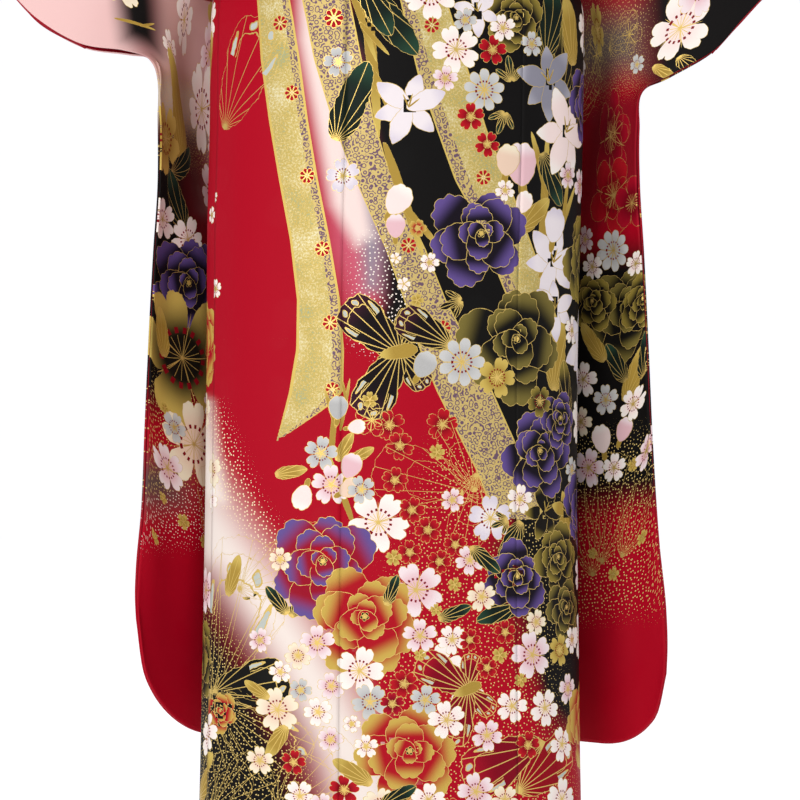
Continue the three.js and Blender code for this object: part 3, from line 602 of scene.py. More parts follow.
# Places on the drawing: kind, x, y, size, turn, palette. What comes later lies on top.
SKIRT_MOTIFS = (
    # the spray of leaves and stalks behind the flowers
    ("gauze", 246, 74, 58, 62, "plum"), ("stalk", 372, 60, 75, -84, "gold"),
    ("stalk", 362, 20, 44, -70, "gold"), ("leaf", 352, 100, 42, 68, "leaf"),
    ("leaf", 392, 24, 40, -50, "leaf"), ("leaf", 375, 6, 34, -62, "leaf"),
    ("stalk", 404, 200, 60, -70, "gold"), ("leaves", 512, 82, 24, 100, "leaf"),
    ("leaves", 505, 112, 22, 250, "leaf"), ("stalk", 545, 200, 70, 88, "gold"),
    ("stalk", 560, 230, 55, 60, "gold"), ("leaf", 562, 60, 44, 88, "olive"),
    ("leaf", 552, 20, 40, 80, "leaf"), ("leaf", 570, 30, 36, 100, "gold"),
    ("leaf", 553, 180, 30, -60, "leaf"), ("leaf", 535, 215, 26, 40, "gold"),
    ("leaf", 558, 350, 40, 85, "gold"), ("leaf", 566, 390, 30, 100, "olive"),
    # upper flowers on the black ground
    ("peony", 515, 20, 30, 20, "olive"), ("lily", 478, 12, 22, 100, "lilac"),
    ("cherry", 430, -6, 26, 60, "white"), ("rosette", 280, 23, 8, 10, "red"),
    ("rosette", 292, 93, 8, 0, "red"), ("rosette", 307, 175, 8, 20, "red"),
    ("rosette", 323, 249, 8, 5, "red"), ("rosette", 330, 323, 8, 12, "red"),
    ("rosette", 332, 390, 8, 0, "red"), ("rosette", 333, 18, 10, 0, "red"),
    ("rosette", 432, 25, 8, 15, "red"), ("rosette", 484, 177, 8, 30, "red"),
    ("rosette", 408, 245, 8, 0, "red"), ("rosette", 443, 328, 8, 0, "red"),
    ("cherry", 338, 62, 15, 30, "silver"), ("daisy", 485, 90, 21, 10, "silver"),
    ("cherry", 456, 49, 24, 40, "white"), ("cherry", 492, 50, 15, 80, "red"),
    ("cherry", 471, 117, 14, 20, "red"), ("cherry", 487, 144, 13, 60, "red"),
    ("lily", 409, 107, 33, 75, "lilac"), ("lily", 549, 82, 34, 100, "grey"),
    ("lily", 566, 132, 40, 60, "white"), ("bud", 522, 165, 22, 95, "blush"),
    ("bud", 508, 160, 16, 80, "cream"), ("bud", 524, 203, 12, 60, "white"),
    ("cherry", 342, 176, 17, 30, "lilac"), ("bud", 398, 200, 16, 60, "white"),
    ("bud", 396, 226, 12, 90, "blush"), ("cherry", 418, 228, 9, 0, "ember"),
    ("star", 395, 258, 6, 0, "white"), ("star", 403, 284, 7, 0, "white"),
    ("star", 417, 300, 7, 0, "gold"), ("lily", 555, 262, 36, 70, "lilac"),
    ("bud", 556, 226, 18, 80, "lilac"), ("lily", 556, 310, 28, 90, "lilac"),
    ("peony", 479, 237, 48, 15, "purple"), ("leaves", 462, 300, 22, 200, "dark"),
    ("leaves", 482, 312, 26, 270, "dark"), ("leaves", 502, 300, 20, 320, "dark"),
    # the butterfly that crosses the ribbons
    ("butterfly", 398, 352, 62, 190, "smoke"), ("wing", 425, 330, 30, 150, "smoke"),
    ("bud", 425, 365, 14, 60, "silver"), ("peony", 515, 345, 56, 40, "night"),
    ("daisy", 462, 362, 24, 0, "silver"), ("cherry", 497, 378, 20, 0, "gold"),
    # crimson ground: the spray beside the ribbon's tip
    ("star", 370, 400, 8, 20, "gold"), ("cherry", 389, 425, 15, 30, "red"),
    ("cherry", 442, 425, 16, 10, "red"), ("cherry", 400, 446, 14, 50, "red"),
    ("star", 437, 452, 8, 0, "gold"), ("ghost", 372, 420, 17, 10, "plum"),
    ("fan", 425, 480, 52, 165, "red"), ("fan", 500, 482, 40, 15, "olive"),
    ("fan", 462, 455, 36, 110, "olive"), ("fan", 470, 512, 36, 260, "olive"),
    ("stalk", 334, 428, 40, 85, "gold"), ("stalk", 345, 405, 26, 80, "gold"),
    ("stalk", 340, 488, 40, 110, "gold"), ("leaf", 291, 472, 17, 10, "gold"),
    ("leaf", 345, 447, 16, 62, "gold"), ("leaf", 360, 455, 15, 30, "gold"),
    ("bud", 357, 427, 9, 10, "white"), ("bud", 338, 408, 12, 85, "silver"),
    ("bud", 302, 497, 13, 250, "white"), ("cherry", 321, 453, 17, 80, "silver"),
    ("cherry", 331, 485, 20, 20, "blush"), ("bud", 351, 466, 13, 70, "blush"),
    ("bud", 350, 488, 12, 30, "cream"), ("cherry", 378, 522, 30, 55, "white"),
    ("cherry", 412, 510, 13, 0, "red"), ("cherry", 427, 530, 13, 40, "red"),
    ("cherry", 410, 552, 12, 20, "red"), ("cherry", 439, 561, 12, 0, "red"),
    ("cherry", 490, 518, 23, 20, "lilac"), ("star", 393, 558, 8, 10, "gold"),
    ("star", 455, 585, 7, 0, "gold"), ("star", 470, 552, 6, 0, "gold"),
    ("leaves", 508, 520, 18, 200, "leaf"), ("lily", 546, 512, 26, 60, "olive"),
    ("lily", 567, 512, 22, 110, "gold"), ("peony", 541, 455, 44, 60, "purple"),
    ("peony", 560, 420, 28, 10, "purple"), ("leaf", 510, 545, 26, 240, "leaf"),
    ("leaf", 500, 612, 26, 200, "leaf"), ("peony", 517, 580, 36, 30, "purple"),
    ("peony", 560, 560, 34, 70, "olive"), ("peony", 566, 610, 30, 10, "night"),
    ("leaf", 258, 590, 16, 30, "leaf"), ("leaf", 300, 600, 20, 60, "leaf"),
    # the large butterfly at the hem of the left edge
    ("fan", 236, 628, 92, 76, "gold"), ("gauze", 230, 636, 84, 72, "olive"),
    ("wing", 250, 688, 46, 14, "dark"), ("gauze", 258, 738, 62, -30, "dark"),
    ("fan", 262, 752, 84, -38, "gold"), ("fan", 216, 760, 60, -80, "gold"),
    ("fan", 286, 566, 56, 24, "gold"), ("fan", 222, 800, 50, 60, "gold"),
    ("leaf", 236, 574, 22, 70, "gold"), ("peony", 222, 716, 22, 40, "ember"),
    ("cherry", 216, 470, 18, 20, "cream"), ("cherry", 214, 500, 15, 60, "white"),
    # the lower flowers
    ("cherry", 416, 590, 27, 40, "blush"), ("peony", 320, 566, 50, 20, "wine"),
    ("peony", 365, 622, 52, 50, "ember"), ("cherry", 482, 597, 15, 30, "cream"),
    ("star", 500, 655, 8, 0, "gold"), ("cherry", 440, 667, 23, 10, "white"),
    ("cherry", 317, 643, 18, 20, "blush"), ("cherry", 298, 656, 14, 50, "cream"),
    ("cherry", 332, 686, 14, 30, "blush"), ("cherry", 360, 671, 24, 0, "white"),
    ("cherry", 370, 702, 18, 50, "silver"), ("cherry", 352, 724, 9, 0, "white"),
    ("cherry", 468, 700, 18, 40, "blush"), ("butterfly", 468, 690, 50, 200, "plum"),
    ("cherry", 532, 655, 24, 30, "blush"), ("cherry", 545, 708, 19, 60, "white"),
    ("cherry", 505, 632, 12, 20, "red"), ("cherry", 404, 684, 14, 40, "red"),
    ("wing", 505, 762, 46, 200, "plum"), ("wing", 548, 768, 42, 30, "red"),
    ("fan", 240, 792, 44, 40, "gold"), ("fan", 310, 775, 52, 50, "gold"),
    ("cherry", 277, 710, 23, 30, "cream"), ("leaf", 276, 742, 20, 240, "gold"),
    ("leaf", 258, 690, 16, 150, "gold"), ("cherry", 293, 762, 13, 10, "red"),
    ("cherry", 344, 790, 15, 20, "red"), ("cherry", 392, 704, 12, 20, "plum"),
    ("peony", 407, 755, 48, 10, "ember"), ("cherry", 476, 792, 19, 30, "blush"),
    ("cherry", 380, 806, 18, 0, "cream"), ("cherry", 562, 800, 22, 10, "white"),
    ("cherry", 560, 650, 16, 0, "gold"), ("cherry", 450, 820, 22, 20, "red"),
    ("cherry", 300, 820, 20, 30, "white"), ("cherry", 240, 830, 18, 60, "blush"),
    ("peony", 530, 835, 36, 20, "purple"), ("cherry", 345, 838, 16, 50, "silver"),
    ("cherry", 420, 636, 17, 20, "blush"), ("cherry", 452, 640, 15, 50, "white"),
    ("cherry", 425, 700, 15, 10, "silver"), ("cherry", 446, 720, 19, 30, "white"),
    ("cherry", 487, 735, 16, 60, "blush"), ("cherry", 512, 706, 17, 0, "white"),
    ("cherry", 568, 690, 16, 20, "blush"), ("cherry", 562, 745, 18, 40, "white"),
    ("cherry", 528, 745, 14, 10, "red"), ("cherry", 470, 640, 11, 0, "red"),
    ("cherry", 488, 668, 11, 30, "red"), ("cherry", 536, 622, 13, 0, "cream"),
    ("cherry", 572, 640, 14, 50, "white"), ("cherry", 330, 740, 13, 10, "blush"),
    ("cherry", 318, 712, 15, 40, "white"), ("cherry", 300, 690, 12, 0, "silver"),
    ("cherry", 366, 746, 12, 20, "white"), ("cherry", 262, 765, 15, 20, "cream"),
    ("cherry", 300, 796, 16, 60, "white"), ("cherry", 322, 806, 13, 0, "blush"),
    ("cherry", 428, 800, 17, 10, "white"), ("cherry", 505, 800, 15, 50, "cream"),
    ("cherry", 455, 545, 12, 20, "red"), ("cherry", 470, 560, 15, 50, "blush"),
    ("cherry", 452, 500, 12, 0, "blush"), ("cherry", 520, 500, 15, 10, "white"),
    ("cherry", 572, 470, 14, 30, "silver"), ("cherry", 395, 480, 13, 10, "red"),
    ("cherry", 362, 490, 14, 40, "silver"), ("cherry", 280, 560, 12, 20, "cream"),
    ("cherry", 262, 640, 13, 0, "blush"), ("cherry", 280, 672, 12, 30, "white"),
    ("leaf", 392, 590, 16, 70, "leaf"), ("leaf", 276, 600, 18, 130, "leaf"),
    ("leaf", 456, 612, 18, 20, "leaf"), ("leaf", 486, 560, 20, -40, "leaf"),
    ("leaf", 398, 796, 20, 30, "leaf"), ("leaf", 352, 772, 22, 150, "gold"),
    ("star", 420, 655, 6, 0, "gold"), ("star", 436, 610, 6, 20, "gold"), ("star", 520, 680, 7, 0, "gold"),
    ("star", 575, 720, 6, 0, "gold"), ("cherry", 503, 28, 14, 30, "white"),
    ("cherry", 446, 78, 13, 10, "blush"), ("cherry", 465, 20, 12, 0, "silver"),
    ("cherry", 532, 44, 13, 20, "silver"), ("cherry", 505, 190, 11, 50, "white"),
    ("cherry", 568, 176, 14, 20, "blush"), ("cherry", 572, 330, 15, 10, "white"),
    ("cherry", 430, 262, 10, 0, "white"), ("cherry", 540, 402, 16, 50, "olive"),
    # round the sides
    ("peony", 583, 104, 40, 10, "purple"), ("cherry", 586, 30, 26, 20, "white"),
    ("cherry", 580, 186, 18, 50, "blush"), ("peony", 587, 262, 46, 60, "olive"),
    ("lily", 582, 348, 36, 20, "lilac"), ("cherry", 587, 420, 28, 10, "white"),
    ("peony", 584, 506, 42, 40, "purple"), ("cherry", 578, 574, 20, 0, "blush"),
    ("cherry", 586, 636, 24, 30, "white"), ("peony", 583, 724, 44, 10, "ember"),
    ("cherry", 206, 20, 24, 30, "white"), ("leaf", 209, 60, 30, 70, "gold"),
    ("cherry", 211, 214, 9, 0, "white"), ("cherry", 215, 196, 7, 20, "white"),
    ("cherry", 217, 288, 10, 20, "white"), ("peony", 206, 344, 42, 50, "ember"),
    ("cherry", 204, 412, 20, 20, "cream"), ("cherry", 206, 590, 24, 40, "blush"),
    ("peony", 203, 660, 40, 10, "olive"), ("cherry", 208, 735, 22, 0, "white"),
    ("leaf", 205, 780, 30, 40, "gold"),
)
SLEEVE_RIGHT_MOTIFS = (
    ("cherry", 204, 6, 20, 20, "gold"), ("cherry", 178, 10, 26, 30, "white"),
    ("cherry", 199, 36, 20, 0, "blush"), ("cherry", 166, 42, 20, 50, "white"),
    ("star", 207, 52, 9, 10, "red"), ("leaf", 172, 96, 56, 80, "gold"),
    ("cherry", 190, 92, 32, 10, "white"), ("cherry", 162, 134, 36, 40, "gold"),
    ("leaf", 178, 156, 30, 10, "leaf"), ("leaf", 172, 196, 36, 110, "leaf"),
    ("cherry", 200, 180, 26, 20, "blush"), ("cherry", 160, 216, 24, 30, "white"),
    ("cherry", 181, 234, 25, 60, "white"), ("leaf", 200, 226, 22, 60, "gold"),
    ("peony", 180, 284, 50, 20, "purple"), ("cherry", 176, 356, 64, 40, "amber"),
    ("leaf", 158, 330, 24, 100, "gold"), ("star", 160, 408, 6, 0, "gold"),
    ("cherry", 186, 446, 38, 20, "cream"), ("cherry", 162, 470, 20, 40, "blush"),
    ("cherry", 208, 424, 18, 10, "white"), ("fan", 200, 505, 30, 90, "grey"),
    ("star", 177, 526, 7, 0, "gold"), ("star", 158, 500, 5, 0, "gold"), ("star", 196, 548, 6, 20, "gold"),
    ("cherry", 120, -20, 22, 20, "cream"), ("cherry", 145, -44, 18, 50, "blush"),
    ("stalk", 138, 22, 24, -60, "gold"), ("cherry", 206, 134, 18, 50, "blush"),
    ("leaf", 212, 150, 24, 80, "gold"), ("cherry", 212, 250, 16, 20, "white"),
    ("leaf", 204, 330, 24, 60, "gold"), ("cherry", 204, 404, 15, 10, "blush"),
    ("cherry", 214, 466, 14, 30, "cream"), ("cherry", 168, 428, 14, 0, "silver"),
    ("star", 150, 540, 5, 0, "gold"), ("peony", 90, -120, 34, 30, "wine"),
    ("cherry", 60, -60, 22, 0, "white"), ("cherry", 130, -150, 20, 40, "cream"),
    ("peony", 150, -230, 30, 10, "ember"), ("cherry", 110, -230, 18, 20, "blush"),
    ("leaf", 70, -170, 24, 60, "leaf"), ("peony", 270, 300, 32, 20, "wine"),
    ("cherry", 300, 240, 20, 0, "white"), ("cherry", 250, 180, 18, 30, "blush"),
    ("peony", 320, 360, 28, 50, "olive"), ("cherry", 290, 420, 20, 10, "cream"),
    ("cherry", 250, 440, 16, 40, "white"),
)
SLEEVE_LEFT_MOTIFS = (
    ("cherry", 604, 18, 18, 20, "gold"), ("fan", 600, 60, 40, 80, "gold"),
    ("fan", 625, 30, 30, 60, "grey"), ("plum", 616, 128, 46, 30, "plum"),
    ("ghost", 620, 126, 30, 10, "plum"), ("plum", 618, 190, 42, 70, "red"),
    ("ghost", 620, 190, 26, 40, "plum"), ("ghost", 604, 40, 26, 10, "red"),
    ("ghost", 632, 30, 20, 50, "plum"), ("daisy", 618, 246, 22, 0, "silver"),
    ("cherry", 600, 262, 14, 40, "white"), ("peony", 632, 312, 44, 20, "night"),
    ("peony", 600, 300, 26, 60, "olive"), ("cherry", 592, 378, 16, 10, "white"),
    ("leaf", 640, 372, 26, 60, "gold"), ("leaf", 622, 362, 22, 120, "leaf"),
    ("bud", 608, 440, 13, 100, "white"), ("bud", 630, 430, 11, 60, "blush"),
    ("cherry", 596, 470, 17, 0, "blush"), ("star", 638, 466, 6, 0, "gold"),
    ("fan", 614, 510, 46, 80, "gold"), ("fan", 640, 520, 30, 60, "gold"),
    ("star", 620, 580, 6, 0, "gold"), ("star", 600, 560, 5, 0, "gold"),
    ("cherry", 680, 28, 28, 20, "white"), ("cherry", 700, -14, 22, 50, "blush"),
    ("leaf", 664, 70, 18, 20, "gold"), ("leaf", 690, 66, 16, 10, "olive"),
    ("cherry", 588, 40, 14, 0, "white"), ("cherry", 640, 60, 13, 20, "silver"),
    ("cherry", 594, 232, 14, 50, "blush"), ("cherry", 640, 262, 13, 10, "white"),
    ("plum", 636, 200, 30, 10, "plum"), ("peony", 652, 300, 26, 30, "olive"),
    ("leaf", 650, 350, 22, 80, "leaf"), ("leaf", 600, 340, 22, 130, "gold"),
    ("cherry", 612, 400, 14, 20, "silver"), ("cherry", 638, 404, 15, 50, "white"),
    ("cherry", 590, 422, 13, 0, "cream"), ("cherry", 650, 450, 13, 30, "blush"),
    ("cherry", 620, 470, 13, 10, "white"), ("fan", 596, 540, 34, 95, "gold"),
    ("star", 646, 540, 6, 0, "gold"), ("peony", 710, -110, 34, 20, "purple"),
    ("cherry", 745, -50, 22, 30, "white"), ("cherry", 670, -160, 20, 0, "blush"),
    ("peony", 650, -230, 30, 40, "ember"), ("cherry", 690, -220, 18, 10, "white"),
    ("leaf", 730, -160, 24, 120, "leaf"), ("peony", 530, 310, 32, 10, "olive"),
    ("cherry", 500, 250, 20, 20, "white"), ("cherry", 550, 190, 18, 50, "silver"),
    ("peony", 480, 370, 28, 30, "purple"), ("cherry", 510, 430, 20, 0, "blush"),
    ("cherry", 550, 450, 16, 40, "white"),
)
BODY_MOTIFS = (
    ("lily", 470, -60, 30, 30, "white"), ("peony", 540, -110, 46, 20, "purple"),
    ("cherry", 590, -40, 24, 0, "white"), ("cherry", 500, -150, 22, 40, "blush"),
    ("peony", 610, -190, 44, 60, "ember"), ("cherry", 560, -230, 22, 10, "white"),
    ("leaves", 520, -200, 26, 200, "leaf"), ("cherry", 620, -290, 24, 30, "silver"),
    ("peony", 560, -300, 40, 10, "olive"), ("cherry", 500, -330, 18, 60, "white"),
    ("cherry", 600, -350, 20, 0, "red"), ("leaf", 540, -370, 26, 60, "gold"),
    ("cherry", 260, -120, 24, 20, "white"), ("peony", 205, -170, 42, 50, "wine"),
    ("cherry", 250, -220, 22, 0, "cream"), ("cherry", 190, -250, 22, 30, "blush"),
    ("leaves", 240, -180, 24, 300, "leaf"), ("peony", 220, -310, 40, 10, "ember"),
    ("cherry", 270, -330, 18, 40, "white"), ("cherry", 180, -340, 20, 0, "silver"),
    ("star", 300, -250, 8, 0, "gold"), ("peony", 320, -20, 40, 30, "wine"),
    ("cherry", 285, -30, 20, 10, "white"), ("cherry", 365, -34, 22, 50, "blush"),
    ("leaf", 350, -10, 24, 200, "gold"), ("cherry", 430, -24, 24, 20, "white"),
    ("peony", 520, -24, 38, 50, "olive"), ("cherry", 575, -18, 18, 0, "silver"),
    ("cherry", 230, -30, 18, 30, "blush"), ("lily", 500, -270, 34, 20, "lilac"),
    ("cherry", 540, -262, 18, 50, "white"), ("cherry", 590, -330, 20, 10, "blush"),
    ("leaf", 470, -300, 30, 70, "leaf"), ("peony", 470, -350, 34, 10, "purple"),
    ("cherry", 300, -280, 20, 20, "blush"), ("cherry", 230, -270, 18, 50, "white"),
    ("leaf", 200, -300, 26, 120, "leaf"), ("cherry", 640, -250, 20, 30, "white"),
    ("star", 340, -300, 7, 0, "gold"),
)

# Soft zones of the dyed ground, painted one over another: where, colour, width of the blur in steps,
# outline. The upper halves carry on the skirt's.
ZONES = (
    ("skirt", "#0c0a09", 7, ((342, -500), (900, -500), (900, 500), (575, 540), (575, 720), (545, 700),
        (520, 560), (500, 470), (455, 405), (432, 372), (404, 360), (380, 318), (376, 250), (368, 190),
        (350, 110))),
    ("skirt", "#0c0a09", 26, ((498, 545), (620, 520), (600, 745), (555, 725), (525, 650))),
    ("skirt", "#c4566a", 20, ((296, -40), (352, 60), (376, 200), (376, 300), (356, 326), (332, 250))),
    ("skirt", "#8f8490", 12, ((356, 190), (378, 196), (382, 250), (378, 290), (366, 290))),
    ("skirt", "#ecd5cd", 10, ((294, -500), (318, -500), (325, 20), (348, 120), (366, 200), (372, 236),
        (356, 246), (332, 205), (314, 110), (300, 40))),
    ("skirt", "#e9dcd2", 30, ((150, 478), (214, 478), (246, 530), (296, 600), (352, 690), (400, 790),
        (420, 860), (352, 860), (318, 760), (268, 660), (212, 575), (150, 560))),
    ("skirt", "#0d0a09", 34, ((120, 560), (204, 585), (246, 650), (296, 745), (330, 860), (120, 860))),
    ("skirt", "#f1e6da", 12, ((190, 398), (209, 404), (214, 440), (224, 500), (190, 500))),
    ("sleeve_right", "#d3a8a0", 16, ((150, -60), (520, -60), (520, 76), (150, 66))),
    ("sleeve_right", "#c7b6a0", 20, ((-100, 62), (520, 72), (520, 130), (-100, 128))),
    ("sleeve_right", "#c49a98", 16, ((190, 20), (520, 40), (520, 180), (196, 200))),
    ("sleeve_right", "#0c0a09", 26, ((-100, 118), (190, 118), (196, 230), (520, 190), (520, 380),
        (-100, 425))),
    ("sleeve_right", "#5c4644", 26, ((-100, 452), (182, 462), (176, 508), (-100, 500))),
    ("sleeve_right", "#e5bdb8", 26, ((-100, -420), (60, -420), (100, -260), (148, 60), (60, 90),
        (-100, 60))),
    ("sleeve_right", "#0d0a09", 14, ((60, -420), (110, -420), (150, -200), (158, 50), (122, 38),
        (96, -200))),
    ("sleeve_left", "#6d5f58", 26, ((300, -20), (650, 10), (650, 66), (300, 60))),
    ("sleeve_left", "#0c0a09", 24, ((300, 270), (540, 240), (720, 250), (720, 490), (540, 520),
        (300, 420))),
    ("sleeve_left", "#8f0c1e", 12, ((596, 96), (640, 90), (650, 210), (600, 220))),
    ("sleeve_left", "#0d0a09", 22, ((660, -420), (960, -420), (960, 150), (652, 96), (632, -120))),
)
# Sprinkled dots of paste: where, colour, size against the largest, width of the fade, outline.
SPRINKLES = (
    ("skirt", "#d9bd74", 0.8, 24, ((440, 430), (560, 500), (560, 700), (600, 860), (400, 860), (352, 700),
        (392, 560))),
    ("skirt", "#f3e6d8", 0.9, 14, ((352, 240), (380, 220), (430, 330), (400, 372), (350, 345))),
    ("skirt", "#d9bd74", 0.9, 18, ((120, 600), (214, 600), (262, 680), (318, 790), (330, 860),
        (120, 860))),
    ("skirt", "#f0dcb4", 1.0, 14, ((200, 400), (222, 404), (262, 500), (300, 560), (268, 560),
        (214, 500))),
    ("sleeve_right", "#d9bd74", 0.9, 18, ((100, 372), (300, 372), (300, 470), (100, 520))),
    ("sleeve_right", "#efe0cc", 0.8, 18, ((100, 470), (300, 430), (300, 560), (100, 545))),
    ("sleeve_right", "#d9bd74", 0.8, 14, ((150, 60), (220, 60), (220, 160), (150, 160))),
    ("sleeve_left", "#d9bd74", 0.9, 20, ((560, 440), (720, 420), (720, 600), (560, 640))),
    ("sleeve_left", "#d9bd74", 0.8, 18, ((560, -10), (650, -10), (650, 90), (560, 100))),
)
# Creases: where, both ends of the line, half its width in steps, and its depth in mm, or less than
# nothing for a ridge. A hidden side repeats them.
CREASES = table(
    "where x0 y0 x1 y1 wide deep",
    ("skirt", 226, -30, 217, 400, 11, 2.0), ("skirt", 258, 40, 248, 520, 22, -1.1),
    ("skirt", 306, 440, 284, 830, 17, 1.6), ("skirt", 262, 560, 240, 830, 15, -1.2),
    ("skirt", 344, -30, 356, 250, 19, 1.0), ("skirt", 388, 160, 404, 520, 30, -0.9),
    ("skirt", 366, 560, 346, 830, 18, 1.5), ("skirt", 424, 470, 436, 830, 22, -1.3),
    ("skirt", 468, 540, 486, 830, 14, 1.6), ("skirt", 436, -30, 462, 230, 22, 1.1),
    ("skirt", 548, 40, 560, 640, 12, 1.8), ("skirt", 524, 600, 540, 830, 15, -1.2),
    ("skirt", 236, 14, 420, 34, 9, 0.7), ("skirt", 470, 10, 566, -8, 9, 0.7),
    ("skirt", 250, 330, 330, 352, 14, 0.5), ("skirt", 440, 600, 560, 566, 16, 0.6),
    ("sleeve_right", 176, 60, 160, 420, 9, 2.6), ("sleeve_right", 196, 170, 188, 560, 8, -1.8),
    ("sleeve_right", 168, 440, 166, 690, 13, 1.8), ("sleeve_right", 206, 300, 206, 700, 10, 2.0),
    ("sleeve_right", 110, 20, 190, -60, 12, 2.4), ("sleeve_right", 150, 380, 146, 640, 10, -1.4),
    ("sleeve_left", 606, 30, 622, 400, 9, 2.6), ("sleeve_left", 632, 120, 640, 520, 9, -1.8),
    ("sleeve_left", 604, 360, 610, 700, 11, 2.2), ("sleeve_left", 644, 420, 640, 700, 10, 1.6),
    ("sleeve_left", 690, 20, 620, -70, 12, 2.4), ("sleeve_left", 590, 180, 592, 640, 8, -1.4),
    ("body", 300, -60, 330, -260, 14, 2.0), ("body", 470, -60, 452, -250, 16, 2.2),
    ("body", 220, -250, 280, -420, 16, 2.4), ("body", 580, -240, 520, -420, 16, 2.4),
    ("body", 400, -20, 396, -70, 14, 1.2), ("body", 250, 0, 330, -14, 10, 1.4),
    ("body", 560, -6, 470, -18, 10, 1.4), ("body", 236, -340, 330, -300, 14, 1.4),
)
# Ribbons of the bundle (noshi): height on the drawing, left edge, right edge.
RIBBONS = {
    "brocade": ((-600, 226, 250), (-420, 236, 262), (-200, 245, 274), (-40, 253, 286), (0, 257, 290),
        (60, 261, 300), (120, 269, 308), (180, 279, 318), (240, 290, 330), (300, 297, 340),
        (350, 296, 344), (392, 289, 343), (408, 285, 326), (424, 281, 303), (441, 277, 278)),
    "scrolls": ((-600, 272, 308), (-420, 280, 320), (-40, 298, 344), (0, 302, 350), (60, 314, 362),
        (120, 332, 374), (160, 347, 386), (200, 364, 402), (250, 386, 426), (300, 404, 446),
        (340, 416, 467), (390, 436, 492), (470, 476, 528), (520, 496, 545)),
    "flowered": ((-600, 306, 350), (-420, 330, 375), (-40, 390, 434), (0, 400, 447), (75, 418, 470),
        (130, 437, 487), (180, 455, 508), (215, 474, 521), (280, 500, 545), (340, 524, 566)),
}


# ---- Painting the cloth ----------------------------------------------------------------------------
def inside_depth(places, outline):
    """Signed distance of places to a closed outline, positive inside."""
    corners = np.array(outline, float)
    nearest, inside = np.full(len(places), np.inf), np.zeros(len(places), bool)
    for a, b in zip(corners, np.roll(corners, -1, axis=0)):
        along, to = b - a, places - a
        t = np.clip(to @ along / (along @ along), 0, 1)
        nearest = np.minimum(nearest, np.linalg.norm(to - t[:, None] * along, axis=1))
        crosses = (a[1] > places[:, 1]) != (b[1] > places[:, 1])
        rise = along[1] if along[1] else 1e-9
        inside ^= crosses & (places[:, 0] < a[0] + along[0] * (places[:, 1] - a[1]) / rise)
    return np.where(inside, nearest, -nearest)


def inside_share(places, outline, blur):
    """How far inside an outline places are, softly from 0 to 1."""
    t = np.clip(inside_depth(places, outline) / (2 * blur) + 0.5, 0, 1)[:, None]
    return t * t * (3 - 2 * t)


def ground(places, where):
    """Colour of the dyed ground at places of the drawing."""
    colour = np.tile(np.array(COLOURS.crimson), (len(places), 1))
    for part, text, blur, outline in ZONES:
        if part == where:
            colour += (np.array(linear(text)) - colour) * inside_share(places, outline, blur)
    return np.hstack((colour, np.ones((len(places), 1))))


def sprinkled(places, where):
    """Colour of the dots of paste, and their size in place of alpha."""
    dots = np.zeros((len(places), 4))
    for part, text, size, blur, outline in SPRINKLES:
        if part == where:
            share_in = inside_share(places, outline, blur)
            stronger = share_in[:, 0] * size > dots[:, 3]
            dots[stronger] = np.hstack((np.tile(linear(text), (len(places), 1)), share_in * size))[stronger]
    return dots


def creased(places, where):
    """How far creases and ridges move places of the drawing outwards, in metres."""
    out = np.zeros(len(places))
    for line in CREASES:
        if line["where"] != where:
            continue
        start, end = np.array([line["x0"], line["y0"]]), np.array([line["x1"], line["y1"]])
        along = end - start
        t = np.clip((places - start) @ along / (along @ along), 0, 1)
        away = np.linalg.norm(places - start - t[:, None] * along, axis=1) / line["wide"]
        fade = np.sin(math.pi * np.clip(0.08 + 0.84 * t, 0, 1))
        out -= line["deep"] * MM * np.exp(-away ** 2) * fade
    return out


STRAY = 20  # a motif that lies further than this from all cloth, in steps, isn't on it
OFF = 9  # a place outside every shape, in shares of its size
FAR = 4000  # so far off that a ribbon's end stays sharp between two vertices


def ribbon(places, name):
    """Share of the way across a ribbon, -1 at its left edge and 1 at its right one."""
    rows = np.array(RIBBONS[name], float)
    left, right = (np.interp(places[:, 1], rows[:, 0], rows[:, k]) for k in (1, 2))
    across = (2 * places[:, 0] - left - right) / (right - left)
    beyond = (places[:, 1] < rows[0, 0]) | (places[:, 1] > rows[-1, 0])
    return np.where(beyond, FAR, np.clip(across, -OFF, OFF))


def reach(outline, turn, petals):
    """How far an outline reaches at a turn, in shares of its size."""
    t = np.abs((turn * petals + 0.5) % 1 - 0.5) * 2
    return np.interp(t, *zip(*OUTLINES[outline]))


SLOTS = 4  # shapes that one face of a sheet can show


def turned(spots, turn, slim):
    """Places seen along a shape, its width stretched back to full."""
    c, s = np.cos(turn), np.sin(turn)
    return spots[..., 0] * c + spots[..., 1] * s, (spots[..., 1] * c - spots[..., 0] * s) / slim


def place_motifs(corners, shapes, around):
    """Which shapes show in each face, the top one last."""
    owner = np.full((len(corners), SLOTS), -1)
    middle = corners.mean(axis=1)
    cell = np.linalg.norm(corners[:, 0] - corners[:, 2], axis=1).mean() / 2
    for k, shape in enumerate(shapes):
        away = middle - (shape["x"], shape["y"])
        if around:
            away[:, 0] = (away[:, 0] + around / 2) % around - around / 2
        near = np.nonzero(np.abs(away).max(axis=1) < shape["size"] + 2 * cell)[0]
        if not len(near):
            continue
        around_middle = np.concatenate((corners[near] - middle[near, None], np.zeros((len(near), 1, 2))), 1)
        spots = away[near, None] + around_middle
        u, v = turned(spots, shape["turn"], shape["slim"])
        turn = np.arctan2(v, u) / (2 * math.pi)
        depth = reach(shape["outline"], turn, shape["petals"]) * shape["size"] - np.hypot(u, v)
        touched = depth.max(axis=1) > -cell / shape["slim"]
        covered = (depth.min(axis=1) > 1.5 * cell) & (shape["tip"][3] > 0.5)
        owner[near[covered]] = -1
        rows = near[touched]
        owner[rows, :-1] = owner[rows, 1:]
        owner[rows, -1] = k
    return owner


